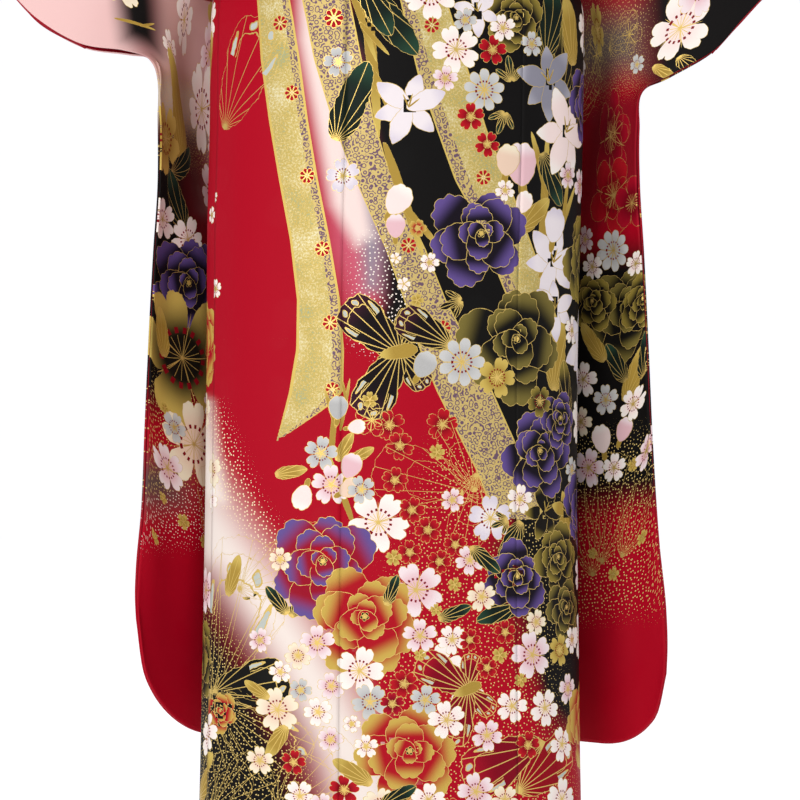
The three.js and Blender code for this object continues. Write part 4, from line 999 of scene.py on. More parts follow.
def cloth_map(piece, cloth):
    """Give a sheet the map of its own cloth, in metres, and return the vertex of each corner."""
    mesh = piece.data
    index = np.empty(len(mesh.loops), np.int32)
    mesh.loops.foreach_get("vertex_index", index)
    mesh.uv_layers.new(name="Cloth").data.foreach_set("uv", cloth[index].astype(np.float32).ravel())
    return index


def paint(piece, cloth, places, shapes, where, around=0.0):
    """Lay the cloth's own map, the ground, the ribbons and the motifs on a sheet as attributes."""
    mesh = piece.data
    index = cloth_map(piece, cloth)

    def attribute(name, kind, domain, values):
        field = "color" if kind == "FLOAT_COLOR" else "vector"
        mesh.attributes.new(name, kind, domain).data.foreach_set(field, values.astype(np.float32).ravel())

    attribute("ground", "FLOAT_COLOR", "POINT", ground(places, where))
    attribute("dots", "FLOAT_COLOR", "POINT", sprinkled(places, where))
    bundled = where == "skirt"
    across = [ribbon(places, name) if bundled else np.full(len(places), FAR) for name in RIBBONS]
    attribute("ribbons", "FLOAT_VECTOR", "POINT", np.stack(across, axis=1))
    corners = cloth[index].reshape(-1, 4, 2)
    owner = place_motifs(corners, shapes, around)
    # the last of each column stands for no shape
    nothing = {"petals": 5, "code": 0, "line": 0, "x": OFF, "y": OFF, "turn": 0, "size": 1, "marks": 0,
               "slim": 1, "tip": (0, 0, 0, 0), "heart": (0, 0, 0, 0)}
    value = {key: np.array([s[key] for s in shapes + [nothing]], float) for key in nothing}
    for slot in range(SLOTS):
        k = owner[:, slot]
        away = corners - np.stack((value["x"][k], value["y"][k]), axis=1)[:, None]
        if around:
            away[..., 0] = (away[..., 0] + around / 2) % around - around / 2
        u, v = (side / value["size"][k][:, None]
                for side in turned(away, value["turn"][k][:, None], value["slim"][k][:, None]))
        off = (k < 0)[:, None]
        flat = np.ones_like(u)
        marks, petals, code, line = (flat * value[key][k][:, None]
                                     for key in ("marks", "petals", "code", "line"))
        place = np.stack((np.where(off, OFF, u), np.where(off, OFF, v), marks), axis=-1)
        attribute(f"place{slot}", "FLOAT_VECTOR", "CORNER", place)
        attribute(f"form{slot}", "FLOAT_VECTOR", "CORNER", np.stack((petals, code, line), axis=-1))
        for key in ("tip", "heart"):
            attribute(f"{key}{slot}", "FLOAT_COLOR", "CORNER", np.repeat(value[key][k], 4, axis=0))


def lay_out(motifs, seen, cloth, facing, flip, grow=1.0):
    """Shapes on the cloth for a table of the drawing, for cloth that faces front (-1) or back (1)."""
    shapes = []
    for kind, x, y, size, turn, palette in motifs:
        away = ((seen - (x, y)) ** 2).sum(axis=1)
        near = np.argpartition(away, 4)[:4]
        if away[near].min() > STRAY ** 2:
            continue
        weight = 1 / (away[near] + 0.01)
        u, v = (cloth[near] * weight[:, None]).sum(axis=0) / weight.sum()
        at = turn if facing < 0 else 180 - turn
        shapes += motif(kind, u, v, grow * size * STEP, at + (180 if flip and facing > 0 else 0), palette)
    return shapes


# ---- Materials -------------------------------------------------------------------------------------
GOLD_LINE, GOLD_EDGE = "#d8b866", "#d0b45f"
CELL_SILVER, STAMEN_RED = "#b9bdb4", "#7d0714"
BROCADE = ((0.48, "#7b9484"), (0.58, "#a3ac86"), (0.68, "#bd9f45"), (0.78, "#cdbc80"), (0.92, "#e0d8b6"))
SCROLL_GROUND, SCROLL_LINE = "#6b5263", "#c7ae6c"
OBI_LATTICE = "#e2cb8c"
DOT_LARGEST = 0.19  # half width of the largest dot, as a share of the distance between dots
# how many lie to a metre of cloth: the twill and dots are coarser than real ones, so that they show
WAVERS, MOTTLES, CLOUDS, CURLS, DOTS, SPRAYS, TWILLS = 160.0, 420.0, 28.0, 190.0, 210.0, 22.0, 1100.0
DYE_CLOUDS, OBI_CLOUDS = 14.0, 60.0
LINING_RIBS, COLLAR_RIBS, OBI_RIBS = 420.0, 520.0, 260.0  # scales of the wave pattern
LOZENGE, LOZENGE_LINE = 0.012, 0.0014  # half a lozenge, and its line, in metres


def new_material(name):
    """An empty material, its tree and its shader."""
    material = bpy.data.materials.new(name)
    material.use_nodes = True
    return material, material.node_tree, material.node_tree.nodes["Principled BSDF"]


def add(tree, kind, inputs=(), **settings):
    """Add a node with its settings, and link or set its inputs."""
    node = tree.nodes.new("ShaderNode" + kind)
    for name, value in settings.items():
        setattr(node, name, value)
    for key, value in (inputs.items() if isinstance(inputs, dict) else enumerate(inputs)):
        if isinstance(value, bpy.types.Node):
            value = value.outputs[0]
        if isinstance(value, bpy.types.NodeSocket):
            tree.links.new(value, node.inputs[key])
        elif value is not None:
            node.inputs[key].default_value = value
    return node


# Where an outline begins in its stretch of the curve, the share of the stretch that it fills, how fast a
# petal's turn runs through it, and how far its first knot is moved along.
STRETCH_START, STRETCH, STRETCH_PACE, KNOT_APART = 0.04, 0.92, 1.92, 0.0004
# Lines inside a shape, in shares of its size.
EDGE_WAVER = 0.09
FLOWER_RAYS, BLADE_RAYS = 2.6, 4.6  # to a radian
RAY_THIN = 0.6  # against the line of the edge
RAY_LONG = 0.33
STAMENS_AT, STAMEN_LONG, STAMEN_WIDE = 0.4, 0.045, 0.035
CELL_FINE = 14.0  # half cells to the shape's size
CELL_IN = 2.4  # half cells from the edge to the middle of a cell
CELL_RIM, CELLS_FROM = 0.16, 0.15
BAND_AT, BAND_WIDE = 0.3, 0.012
HEART_ENDS, TIP_STARTS = 0.3, 0.9


def motif_group():
    """One drawn shape: its colour, its cover and its gold paste, from where a point lies in it."""
    tree = bpy.data.node_groups.new("Drawn shape", "ShaderNodeTree")
    for name, kind in (("Place", "Vector"), ("Form", "Vector"), ("Tip", "Color"), ("Fill", "Float"),
                       ("Heart", "Color"), ("Waver", "Float")):
        tree.interface.new_socket(name, in_out="INPUT", socket_type="NodeSocket" + kind)
    for name, kind in (("Colour", "Color"), ("Cover", "Float"), ("Gold", "Float")):
        tree.interface.new_socket(name, in_out="OUTPUT", socket_type="NodeSocket" + kind)
    given = tree.nodes.new("NodeGroupInput").outputs
    place = add(tree, "SeparateXYZ", [given["Place"]])
    form = add(tree, "SeparateXYZ", [given["Form"]])
    u, v, marks = place.outputs
    petals, code, line = form.outputs
    flat = add(tree, "CombineXYZ", [u, v, 0.0])
    out = add(tree, "VectorMath", [flat], operation="LENGTH").outputs["Value"]
    angle = add(tree, "Math", [v, u], operation="ARCTAN2")
    turn = add(tree, "Math", [angle, 2 * math.pi], operation="DIVIDE")
    wave = add(tree, "Math", [turn, petals], operation="MULTIPLY")
    side = add(tree, "Math", [wave, 0.5], operation="PINGPONG")
    # each outline has its own stretch of one curve
    stretch = add(tree, "Math", [side, STRETCH_PACE, STRETCH_START], operation="MULTIPLY_ADD")
    shifted = add(tree, "Math", [stretch, code], operation="ADD")
    packed = add(tree, "Math", [shifted, float(len(OUTLINES))], operation="DIVIDE")
    outline = add(tree, "FloatCurve", {1: packed})
    curve = outline.mapping.curves[0]
    knots = [((k + STRETCH_START + STRETCH * t) / len(OUTLINES) + (KNOT_APART if t == 0 else 0), r)
             for k, rows in enumerate(OUTLINES.values()) for t, r in rows]
    curve.points[0].location, curve.points[1].location = knots[0], knots[-1]
    for spot in knots[1:-1]:
        curve.points.new(*spot)
    for point in curve.points:
        point.handle_type = "VECTOR"
    outline.mapping.update()
    wavered = add(tree, "Math", [given["Waver"], EDGE_WAVER, outline], operation="MULTIPLY_ADD")
    inside = add(tree, "Math", [wavered, out], operation="SUBTRACT")
    cover = add(tree, "Math", [inside, 0.0], operation="GREATER_THAN")
    rim = add(tree, "Math", [inside, line], operation="LESS_THAN")
    # gold between the petals of a whole flower
    from_side = add(tree, "Math", [side, -2 * math.pi, math.pi], operation="MULTIPLY_ADD")
    to_side = add(tree, "Math", [from_side, out], operation="MULTIPLY")
    gap = add(tree, "Math", [to_side, petals], operation="DIVIDE")
    between = add(tree, "Math", [gap, line], operation="LESS_THAN")
    whole = add(tree, "Math", [petals, 1.5], operation="GREATER_THAN")
    parted = add(tree, "Math", [between, whole], operation="MULTIPLY")
    # lines from the heart of a flower, or from the foot of a leaf or wing
    blade = add(tree, "Math", [marks, (STAMENS + VEINS) / 2], operation="GREATER_THAN")
    foot = add(tree, "Math", [u, blade], operation="ADD")
    foot_angle = add(tree, "Math", [v, foot], operation="ARCTAN2")
    rays = add(tree, "Mix", {0: blade, 2: FLOWER_RAYS, 3: BLADE_RAYS})
    ray = add(tree, "Math", [foot_angle, rays], operation="MULTIPLY")
    ray_side = add(tree, "Math", [ray, 0.5], operation="PINGPONG")
    foot_flat = add(tree, "CombineXYZ", [foot, v, 0.0])
    foot_out = add(tree, "VectorMath", [foot_flat], operation="LENGTH").outputs["Value"]
    ray_arc = add(tree, "Math", [ray_side, foot_out], operation="MULTIPLY")
    ray_away = add(tree, "Math", [ray_arc, rays], operation="DIVIDE")
    thin = add(tree, "Math", [line, RAY_THIN], operation="MULTIPLY")
    on_ray = add(tree, "Math", [ray_away, thin], operation="LESS_THAN")
    marked = add(tree, "Math", [marks, 0.5], operation="GREATER_THAN")
    short = add(tree, "Mix", {0: blade, 2: RAY_LONG, 3: float(OFF)})
    near = add(tree, "Math", [foot_out, short], operation="LESS_THAN")
    ray_near = add(tree, "Math", [on_ray, near], operation="MULTIPLY")
    rays_drawn = add(tree, "Math", [ray_near, marked], operation="MULTIPLY")
    # the tips of the stamens
    ring = add(tree, "Math", [out, STAMENS_AT, STAMEN_LONG], operation="COMPARE")
    close = add(tree, "Math", [ray_away, STAMEN_WIDE], operation="LESS_THAN")
    ring_dots = add(tree, "Math", [ring, close], operation="MULTIPLY")
    flower = add(tree, "Math", [marks, float(STAMENS), 0.3], operation="COMPARE")
    tips = add(tree, "Math", [ring_dots, flower], operation="MULTIPLY")
    # silver oval cells in a row inside the rim of a wing
    cell_in = add(tree, "Math", [inside, CELL_FINE, -CELL_IN], operation="MULTIPLY_ADD")
    cell_side = add(tree, "Math", [ray_side, CELL_FINE, -CELL_FINE / 2], operation="MULTIPLY_ADD")
    cell_arc = add(tree, "Math", [cell_side, foot_out], operation="MULTIPLY")
    cell_away = add(tree, "Math", [cell_arc, rays], operation="DIVIDE")
    cell_at = add(tree, "CombineXYZ", [cell_in, cell_away, 0.0])
    cell_off = add(tree, "VectorMath", [cell_at], operation="LENGTH").outputs["Value"]
    cells = add(tree, "Math", [cell_off, 1.0], operation="LESS_THAN")
    cell_rim = add(tree, "Math", [cell_off, 1.0, CELL_RIM], operation="COMPARE")
    outer = add(tree, "Math", [u, CELLS_FROM], operation="GREATER_THAN")
    celled_form = add(tree, "Math", [marks, float(CELLS), 0.3], operation="COMPARE")
    winged = add(tree, "Math", [celled_form, outer], operation="MULTIPLY")
    band_in = add(tree, "Math", [inside, BAND_AT, BAND_WIDE], operation="COMPARE")
    cells_on = add(tree, "Math", [cells, winged], operation="MULTIPLY")
    lined = add(tree, "Math", [band_in, cell_rim], operation="MAXIMUM")
    band_on = add(tree, "Math", [lined, winged], operation="MULTIPLY")
    # colour from the heart or foot to the tip
    half = add(tree, "Math", [u, 0.85, 0.15], operation="MULTIPLY_ADD")
    along = add(tree, "Mix", {0: whole, 2: half, 3: out})
    shade = add(tree, "MapRange", {0: along, 1: HEART_ENDS, 2: TIP_STARTS},
                interpolation_type="SMOOTHSTEP")
    fill = add(tree, "Mix", {0: shade, 6: given["Heart"], 7: given["Tip"]}, data_type="RGBA").outputs[2]
    celled = add(tree, "Mix", {0: cells_on, 6: fill, 7: rgba(CELL_SILVER)}, data_type="RGBA").outputs[2]
    edge = add(tree, "Math", [rim, parted], operation="MAXIMUM")
    drawn_ = add(tree, "Math", [edge, rays_drawn], operation="MAXIMUM")
    gold = add(tree, "Math", [drawn_, band_on], operation="MAXIMUM")
    pasted = add(tree, "Mix", {0: gold, 6: celled, 7: rgba(GOLD_LINE)}, data_type="RGBA").outputs[2]
    colour_ = add(tree, "Mix", {0: tips, 6: pasted, 7: rgba(STAMEN_RED)}, data_type="RGBA").outputs[2]
    solid = add(tree, "Math", [given["Fill"], gold], operation="MAXIMUM")
    solid_cells = add(tree, "Math", [solid, cells_on], operation="MAXIMUM")
    solid_tips = add(tree, "Math", [solid_cells, tips], operation="MAXIMUM")
    covered = add(tree, "Math", [solid_tips, cover], operation="MULTIPLY")
    gilt = add(tree, "Math", [gold, covered], operation="MULTIPLY")
    result = tree.nodes.new("NodeGroupOutput")
    for name, value in (("Colour", colour_), ("Cover", covered.outputs[0]), ("Gold", gilt.outputs[0])):
        tree.links.new(value, result.inputs[name])
    return tree


def dyed_silk():
    """Dyed satin silk: a soft broad sheen, gold paste that catches the light, a fine twill."""
    name = "Dyed silk satin with gold paste"
    if name in bpy.data.materials:
        return bpy.data.materials[name]
    material, tree, shader = new_material(name)
    cloth = add(tree, "UVMap", uv_map="Cloth")
    # gold lines waver as if drawn by hand
    waver = add(tree, "TexNoise", {"Vector": cloth, "Scale": WAVERS, "Detail": 1.0})
    waver_mid = add(tree, "Math", [waver, 0.5], operation="SUBTRACT")
    colour_ = add(tree, "Attribute", attribute_name="ground").outputs["Color"]
    gold = None
    # ribbons: green and gold brocade, and gold scrolls on purple
    across = add(tree, "SeparateXYZ", [add(tree, "Attribute", attribute_name="ribbons").outputs["Vector"]])
    mottle = add(tree, "TexNoise", {"Vector": cloth, "Scale": MOTTLES, "Detail": 4.0, "Roughness": 0.85})
    broad = add(tree, "TexNoise", {"Vector": cloth, "Scale": CLOUDS, "Detail": 2.0})
    mottled = add(tree, "Math", [broad, 0.45, mottle], operation="MULTIPLY_ADD")
    brocade = add(tree, "ValToRGB", [mottled])
    ramp = brocade.color_ramp
    for at, text in BROCADE:
        ramp.elements.new(at).color = rgba(text)
    ramp.elements.remove(ramp.elements[0])
    ramp.elements.remove(ramp.elements[-1])
    scroll = add(tree, "TexVoronoi", {"Vector": cloth, "Scale": CURLS, "Randomness": 0.9},
                 feature="F1")
    curl = add(tree, "Math", [scroll.outputs["Distance"], 2.4], operation="MULTIPLY")
    curls = add(tree, "Math", [curl, 0.5], operation="PINGPONG")
    curled = add(tree, "Math", [curls, 0.2], operation="GREATER_THAN")
    scrolls = add(tree, "Mix", {0: curled, 6: rgba(SCROLL_GROUND), 7: rgba(SCROLL_LINE)},
                  data_type="RGBA").outputs[2]
    # each ribbon: where across it the scrolls begin, and where its gold edge does
    for index, parted, edge in ((1, -9.0, 0.94), (0, 0.52, 0.88), (2, -0.45, 0.93)):
        x = across.outputs[index]
        wide = add(tree, "Math", [x], operation="ABSOLUTE")
        on = add(tree, "Math", [wide, 1.0], operation="LESS_THAN")
        hem = add(tree, "Math", [wide, edge], operation="GREATER_THAN")
        which = add(tree, "Math", [x, parted], operation="LESS_THAN" if index == 2 else "GREATER_THAN")
        woven = add(tree, "Mix", {0: which, 6: brocade.outputs[0], 7: scrolls}, data_type="RGBA").outputs[2]
        edged = add(tree, "Mix", {0: hem, 6: woven, 7: rgba(GOLD_EDGE)}, data_type="RGBA").outputs[2]
        colour_ = add(tree, "Mix", {0: on, 6: colour_, 7: edged}, data_type="RGBA").outputs[2]
        gold = on if gold is None else add(tree, "Math", [gold, on], operation="MAXIMUM")
    gold = add(tree, "Math", [gold, 0.45], operation="MULTIPLY")
    # dots of paste, pearl or gold
    dots = add(tree, "Attribute", attribute_name="dots")
    grains = add(tree, "TexVoronoi", {"Vector": cloth, "Scale": DOTS, "Randomness": 0.75},
                 voronoi_dimensions="2D", feature="F1")
    largest = add(tree, "Math", [dots.outputs["Alpha"], DOT_LARGEST], operation="MULTIPLY")
    dotted = add(tree, "Math", [grains.outputs["Distance"], largest], operation="LESS_THAN")
    colour_ = add(tree, "Mix", {0: dotted, 6: colour_, 7: dots.outputs["Color"]},
                  data_type="RGBA").outputs[2]
    shape = motif_group()
    for slot in range(SLOTS):
        place, form, heart, tip = (add(tree, "Attribute", attribute_name=f"{key}{slot}").outputs
                                   for key in ("place", "form", "heart", "tip"))
        drawn_ = add(tree, "Group", node_tree=shape)
        for name, value in (("Place", place["Vector"]), ("Form", form["Vector"]), ("Tip", tip["Color"]),
                            ("Fill", tip["Alpha"]), ("Heart", heart["Color"]),
                            ("Waver", waver_mid.outputs[0])):
            tree.links.new(value, drawn_.inputs[name])
        cover = drawn_.outputs["Cover"]
        colour_ = add(tree, "Mix", {0: cover, 6: colour_, 7: drawn_.outputs["Colour"]},
                      data_type="RGBA").outputs[2]
        gold = add(tree, "Mix", {0: cover, 2: gold, 3: drawn_.outputs["Gold"]}).outputs[0]
    tree.links.new(colour_, shader.inputs["Base Color"])
    # woven damask: sprays about 45 mm wide that show only by their sheen
    damask = add(tree, "TexVoronoi", {"Vector": cloth, "Scale": SPRAYS, "Randomness": 0.7},
                 feature="SMOOTH_F1")
    figured = add(tree, "MapRange", {0: damask.outputs["Distance"], 1: 0.28, 2: 0.34, 3: 0.5, 4: 0.6})
    rough = add(tree, "Mix", {0: gold, 2: figured, 3: 0.36})
    metal = add(tree, "Math", [gold, 0.5], operation="MULTIPLY")
    tree.links.new(rough.outputs[0], shader.inputs["Roughness"])
    tree.links.new(metal.outputs[0], shader.inputs["Metallic"])
    weave = add(tree, "TexNoise", {"Vector": cloth, "Scale": TWILLS, "Detail": 2.0})
    bump = add(tree, "Bump", {"Height": weave, "Distance": 0.0004, "Strength": 0.35})
    tree.links.new(bump.outputs["Normal"], shader.inputs["Normal"])
    shader.inputs["Specular IOR Level"].default_value = 0.1
    return material


# ---- Pieces ----------------------------------------------------------------------------------------
class FurisodeSizes(bpy.types.PropertyGroup):
    lap: FloatProperty(name="Lap", description="How far the wrapped cloth climbs in one turn",
                       default=0.0058, unit="LENGTH")
    cloth: FloatProperty(name="Cloth", description="Silk, interlining and lining together",
                         default=0.002, unit="LENGTH")
    collar: FloatProperty(name="Collar", description="Thickness of the folded collar",
                          default=0.0019, unit="LENGTH")
    obi_cloth: FloatProperty(name="Obi cloth", description="Thickness of the obi",
                             default=0.0024, unit="LENGTH")
    cell: FloatProperty(name="Cell", description="Spacing of the mesh in the cloth",
                        default=0.0045, unit="LENGTH")


def colour(name, description, text):
    """A colour property whose default is written as hex text."""
    return FloatVectorProperty(name=name, description=description, default=linear(text),
                               subtype="COLOR", size=3, min=0, max=1)


class FurisodeColours(bpy.types.PropertyGroup):
    crimson: colour("Crimson", "Dyed red ground", "#a8001c")
    lining: colour("Lining", "Crimson lining", "#a3001c")
    black: colour("Black", "Dyed black of the collar", "#17110f")
    obi: colour("Obi", "Gold of the obi", "#b89a4e")
    floor: colour("Floor", "Studio floor and backdrop", "#fcfbff")


SIZES = None
COLOURS = None


def build_sheet(name, grid, where, back=0.0):
    """A creased sheet of quads set back from a grid: point in metres, then place on the cloth."""
    rows, columns = grid.shape[:2]
    bm = bmesh.new()
    bmesh.ops.create_grid(bm, x_segments=columns - 1, y_segments=rows - 1, size=1)
    mesh = bpy.data.meshes.new(name)
    bm.to_mesh(mesh)
    bm.free()
    flat = np.empty(len(mesh.vertices) * 3, np.float32)
    mesh.vertices.foreach_get("co", flat)
    flat = flat.reshape(-1, 3)
    column = np.rint((flat[:, 0] + 1) / 2 * (columns - 1)).astype(int)
    row = np.rint((1 - flat[:, 1]) / 2 * (rows - 1)).astype(int)
    values = grid[row, column]
    mesh.vertices.foreach_set("co", values[:, :3].astype(np.float32).ravel())
    mesh.shade_smooth()
    middle = values[:, :3].mean(axis=0)
    if sum((np.array(f.center) - middle) @ np.array(f.normal) for f in mesh.polygons) < 0:
        mesh.flip_normals()
    outward = np.empty(len(mesh.vertices) * 3, np.float32)
    mesh.vertices.foreach_get("normal", outward)
    out = creased(drawn(values[:, :3]), where) - back
    moved = values[:, :3] + outward.reshape(-1, 3) * out[:, None]
    mesh.vertices.foreach_set("co", moved.astype(np.float32).ravel())
    mesh.update()
    piece = bpy.data.objects.new(name, mesh)
    bpy.context.collection.objects.link(piece)
    return piece, values


def finish_piece(piece, node, thickness, outside, inside):
    """Give a sheet its thickness on the inner side, its finishes and its body."""
    piece.data.materials.append(outside)
    piece.data.materials.append(inside)
    wall = piece.modifiers.new("Wall", "SOLIDIFY")
    wall.thickness = thickness
    wall.offset = -1
    wall.material_offset = 1
    wall.material_offset_rim = 0
    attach(piece, "root")
    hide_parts(node)


def plain_silk(name, colour, rough, ribs):
    """Plain silk: fine ribs that break up the sheen, and a faintly uneven dye."""
    if name in bpy.data.materials:
        return bpy.data.materials[name]
    material, tree, shader = new_material(name)
    place = add(tree, "TexCoord").outputs["Object"]
    cloud = add(tree, "TexNoise", {"Vector": place, "Scale": DYE_CLOUDS, "Detail": 3.0})
    deep = tuple(0.86 * c for c in colour) + (1.0,)
    dyed = add(tree, "Mix", {0: cloud, 6: deep, 7: tuple(colour) + (1.0,)}, data_type="RGBA").outputs[2]
    tree.links.new(dyed, shader.inputs["Base Color"])
    rib = add(tree, "TexWave", {"Vector": place, "Scale": ribs, "Distortion": 0.4},
              bands_direction="Z")
    bump = add(tree, "Bump", {"Height": rib, "Distance": 0.0003, "Strength": 0.3})
    tree.links.new(bump.outputs["Normal"], shader.inputs["Normal"])
    shader.inputs["Roughness"].default_value = rough
    shader.inputs["Specular IOR Level"].default_value = 0.25
    return material


def crimson_lining():
    """Thin crimson silk, duller than the face of the garment."""
    return plain_silk("Crimson silk lining", COLOURS.lining, 0.55, LINING_RIBS)


def collar_silk():
    """The face silk's black, folded double, close and smooth."""
    return plain_silk("Black silk satin", COLOURS.black, 0.45, COLLAR_RIBS)


def woven_gold():
    """Obi silk woven with gold foil: small lozenges of bright foil on a duller ground."""
    material, tree, shader = new_material("Woven gold obi silk")
    place = add(tree, "UVMap", uv_map="Cloth")
    across = add(tree, "SeparateXYZ", [place])
    rise = add(tree, "Math", [across.outputs[0], across.outputs[1]], operation="ADD")
    fall = add(tree, "Math", [across.outputs[0], across.outputs[1]], operation="SUBTRACT")
    lattice = None
    for slant in (rise, fall):
        wave = add(tree, "Math", [slant, LOZENGE], operation="PINGPONG")
        line = add(tree, "Math", [wave, LOZENGE_LINE], operation="LESS_THAN")
        lattice = line if lattice is None else add(tree, "Math", [lattice, line], operation="MAXIMUM")
    cloud = add(tree, "TexNoise", {"Vector": place, "Scale": OBI_CLOUDS, "Detail": 4.0})
    base = tuple(COLOURS.obi) + (1.0,)
    dull = tuple(0.62 * c for c in COLOURS.obi) + (1.0,)
    ground_ = add(tree, "Mix", {0: cloud, 6: dull, 7: base}, data_type="RGBA").outputs[2]
    woven = add(tree, "Mix", {0: lattice, 6: ground_, 7: rgba(OBI_LATTICE)}, data_type="RGBA").outputs[2]
    tree.links.new(woven, shader.inputs["Base Color"])
    ribs = add(tree, "TexWave", {"Vector": place, "Scale": OBI_RIBS}, bands_direction="Y")
    raised = add(tree, "Math", [lattice, 0.6, ribs], operation="MULTIPLY_ADD")
    bump = add(tree, "Bump", {"Height": raised, "Distance": 0.0005, "Strength": 0.5})
    tree.links.new(bump.outputs["Normal"], shader.inputs["Normal"])
    shader.inputs["Metallic"].default_value = 0.35
    shader.inputs["Roughness"].default_value = 0.42
    return material


def backdrop_paper():
    """White studio paper, lit from behind so that it stays white to the edge of the picture."""
    material, _, shader = new_material("White backdrop paper")
    white = tuple(COLOURS.floor) + (1.0,)
    shader.inputs["Base Color"].default_value = tuple(0.12 * c for c in COLOURS.floor) + (1.0,)
    shader.inputs["Roughness"].default_value = 1.0
    shader.inputs["Specular IOR Level"].default_value = 0.0
    shader.inputs["Emission Color"].default_value = white
    shader.inputs["Emission Strength"].default_value = 1.06
    return material


HIPS_WIDE, HIPS_DEEP = 0.203, 0.128  # half sizes of the ring that the skirt's cloth is measured round


def arc_round(angles):
    """Length round the skirt from the centre front, in metres, for angles in degrees."""
    degrees = np.linspace(0, 360, 721)
    turns = np.radians(degrees)
    steps = np.hypot(HIPS_WIDE * np.cos(turns), HIPS_DEEP * np.sin(turns)) * turns[1]
    lengths = np.concatenate(([0], np.cumsum(steps[1:])))
    return np.sign(angles) * np.interp(np.abs(angles), degrees, lengths)


class FURISODE_OT_skirt(bpy.types.Operator):
    """Add the back, front and overlap panels of the skirt"""
    bl_idname = "furisode.skirt"
    bl_label = "Skirt panels"

    def execute(self, context):
        around = float(arc_round(np.array([360.0]))[0])
        panels = []
        for word, side in (("left", 1), ("right", -1)):
            for name, start, end, flat in (("back", 180, SIDE_SEAM, (0.385, 0.98)),
                                           ("front", SIDE_SEAM, OKUMI_SEAM, (0.19, 0.98)),
                                           ("okumi", OKUMI_SEAM, FRONT_EDGE, (0.16, 0.98))):
                grid = refine(skirt_grid(side, start, end) * np.array([MM, MM, MM, 1, MM]), SIZES.cell)
                piece, values = build_sheet(f"silk_{name}_{word}", grid, "skirt")
                panels.append((piece, f"{name}_{word}", side, flat, values))
        outer = np.concatenate([p[4] for p in panels if p[1].endswith("left") or p[1] == "back_right"])
        shapes = []
        for facing in (-1, 1):
            chosen = outer[np.sign(np.abs(outer[:, 3]) - 90) == facing]
            cloth = np.stack((arc_round(chosen[:, 3]), chosen[:, 4]), axis=1)
            if facing > 0:
                cloth[:, 0] %= around
            shapes += lay_out(SKIRT_MOTIFS, drawn(chosen[:, :3]), cloth, facing, False)
        for piece, node, side, flat, values in panels:
            cloth = np.stack((arc_round(values[:, 3]), values[:, 4]), axis=1)
            paint(piece, cloth, drawn(values[:, :3]), shapes, "skirt", around)
            finish_piece(piece, node, SIZES.cloth, dyed_silk(), crimson_lining())
        return {"FINISHED"}


BODY_ACROSS = 0.03, 0.3  # an upper half's own place across the cloth, from its inner edge outwards
BODY_CELL, SLEEVE_CELL = 1.4, 1.1  # their cells against the skirt's: upper halves and obi, sleeves


def lengths(grid, side, wide):
    """Add to a grid its own place on the cloth: across from the inner edge, and along its rows."""
    along = np.linalg.norm(np.diff(grid, axis=0), axis=2).mean(axis=1)
    v = np.broadcast_to(np.concatenate(([0], np.cumsum(along)))[:, None], grid.shape[:2])
    u = np.broadcast_to(side * wide, grid.shape[:2])
    return np.concatenate((grid, u[..., None], v[..., None]), axis=2)


class FURISODE_OT_body(bpy.types.Operator):
    """Add the two upper halves"""
    bl_idname = "furisode.body"
    bl_label = "Body"

    def execute(self, context):
        for word, side in (("left", 1), ("right", -1)):
            grid = lengths(body_grid(side) * MM, side, np.linspace(*BODY_ACROSS, COLUMNS))
            fold = grid[len(ARCH) + len(BODY_ROWS) - 1, 0, 4]
            piece, values = build_sheet(f"silk_body_{word}", refine(grid, SIZES.cell * BODY_CELL), "body")
            shapes = []
            for facing in (-1, 1):
                chosen = values[np.sign(values[:, 4] - fold) == facing]
                shapes += lay_out(BODY_MOTIFS, drawn(chosen[:, :3]), chosen[:, 3:5], facing, True)
            paint(piece, values[:, 3:5], drawn(values[:, :3]), shapes, "skirt")
            finish_piece(piece, f"body_{word}", SIZES.cloth, dyed_silk(), crimson_lining())
        return {"FINISHED"}


class FURISODE_OT_collar(bpy.types.Operator):
    """Add the collar"""
    bl_idname = "furisode.collar"
    bl_label = "Collar"

    def execute(self, context):
        piece, _ = build_sheet("silk_collar", refine(collar_grid() * MM, SIZES.cell), "body")
        finish_piece(piece, "collar", SIZES.collar, collar_silk(), crimson_lining())
        return {"FINISHED"}


class FURISODE_OT_obi(bpy.types.Operator):
    """Add the obi"""
    bl_idname = "furisode.obi"
    bl_label = "Obi"

    def execute(self, context):
        gold = woven_gold()
        grid = lengths(obi_grid() * MM, 1, np.linspace(0, (OBI_TOP - OBI_FOOT) * MM, OBI_ROWS))
        piece, values = build_sheet("woven_obi", refine(grid, SIZES.cell * BODY_CELL), "obi")
        cloth_map(piece, values[:, 3:5])
        finish_piece(piece, "obi", SIZES.obi_cloth, gold, gold)
        return {"FINISHED"}


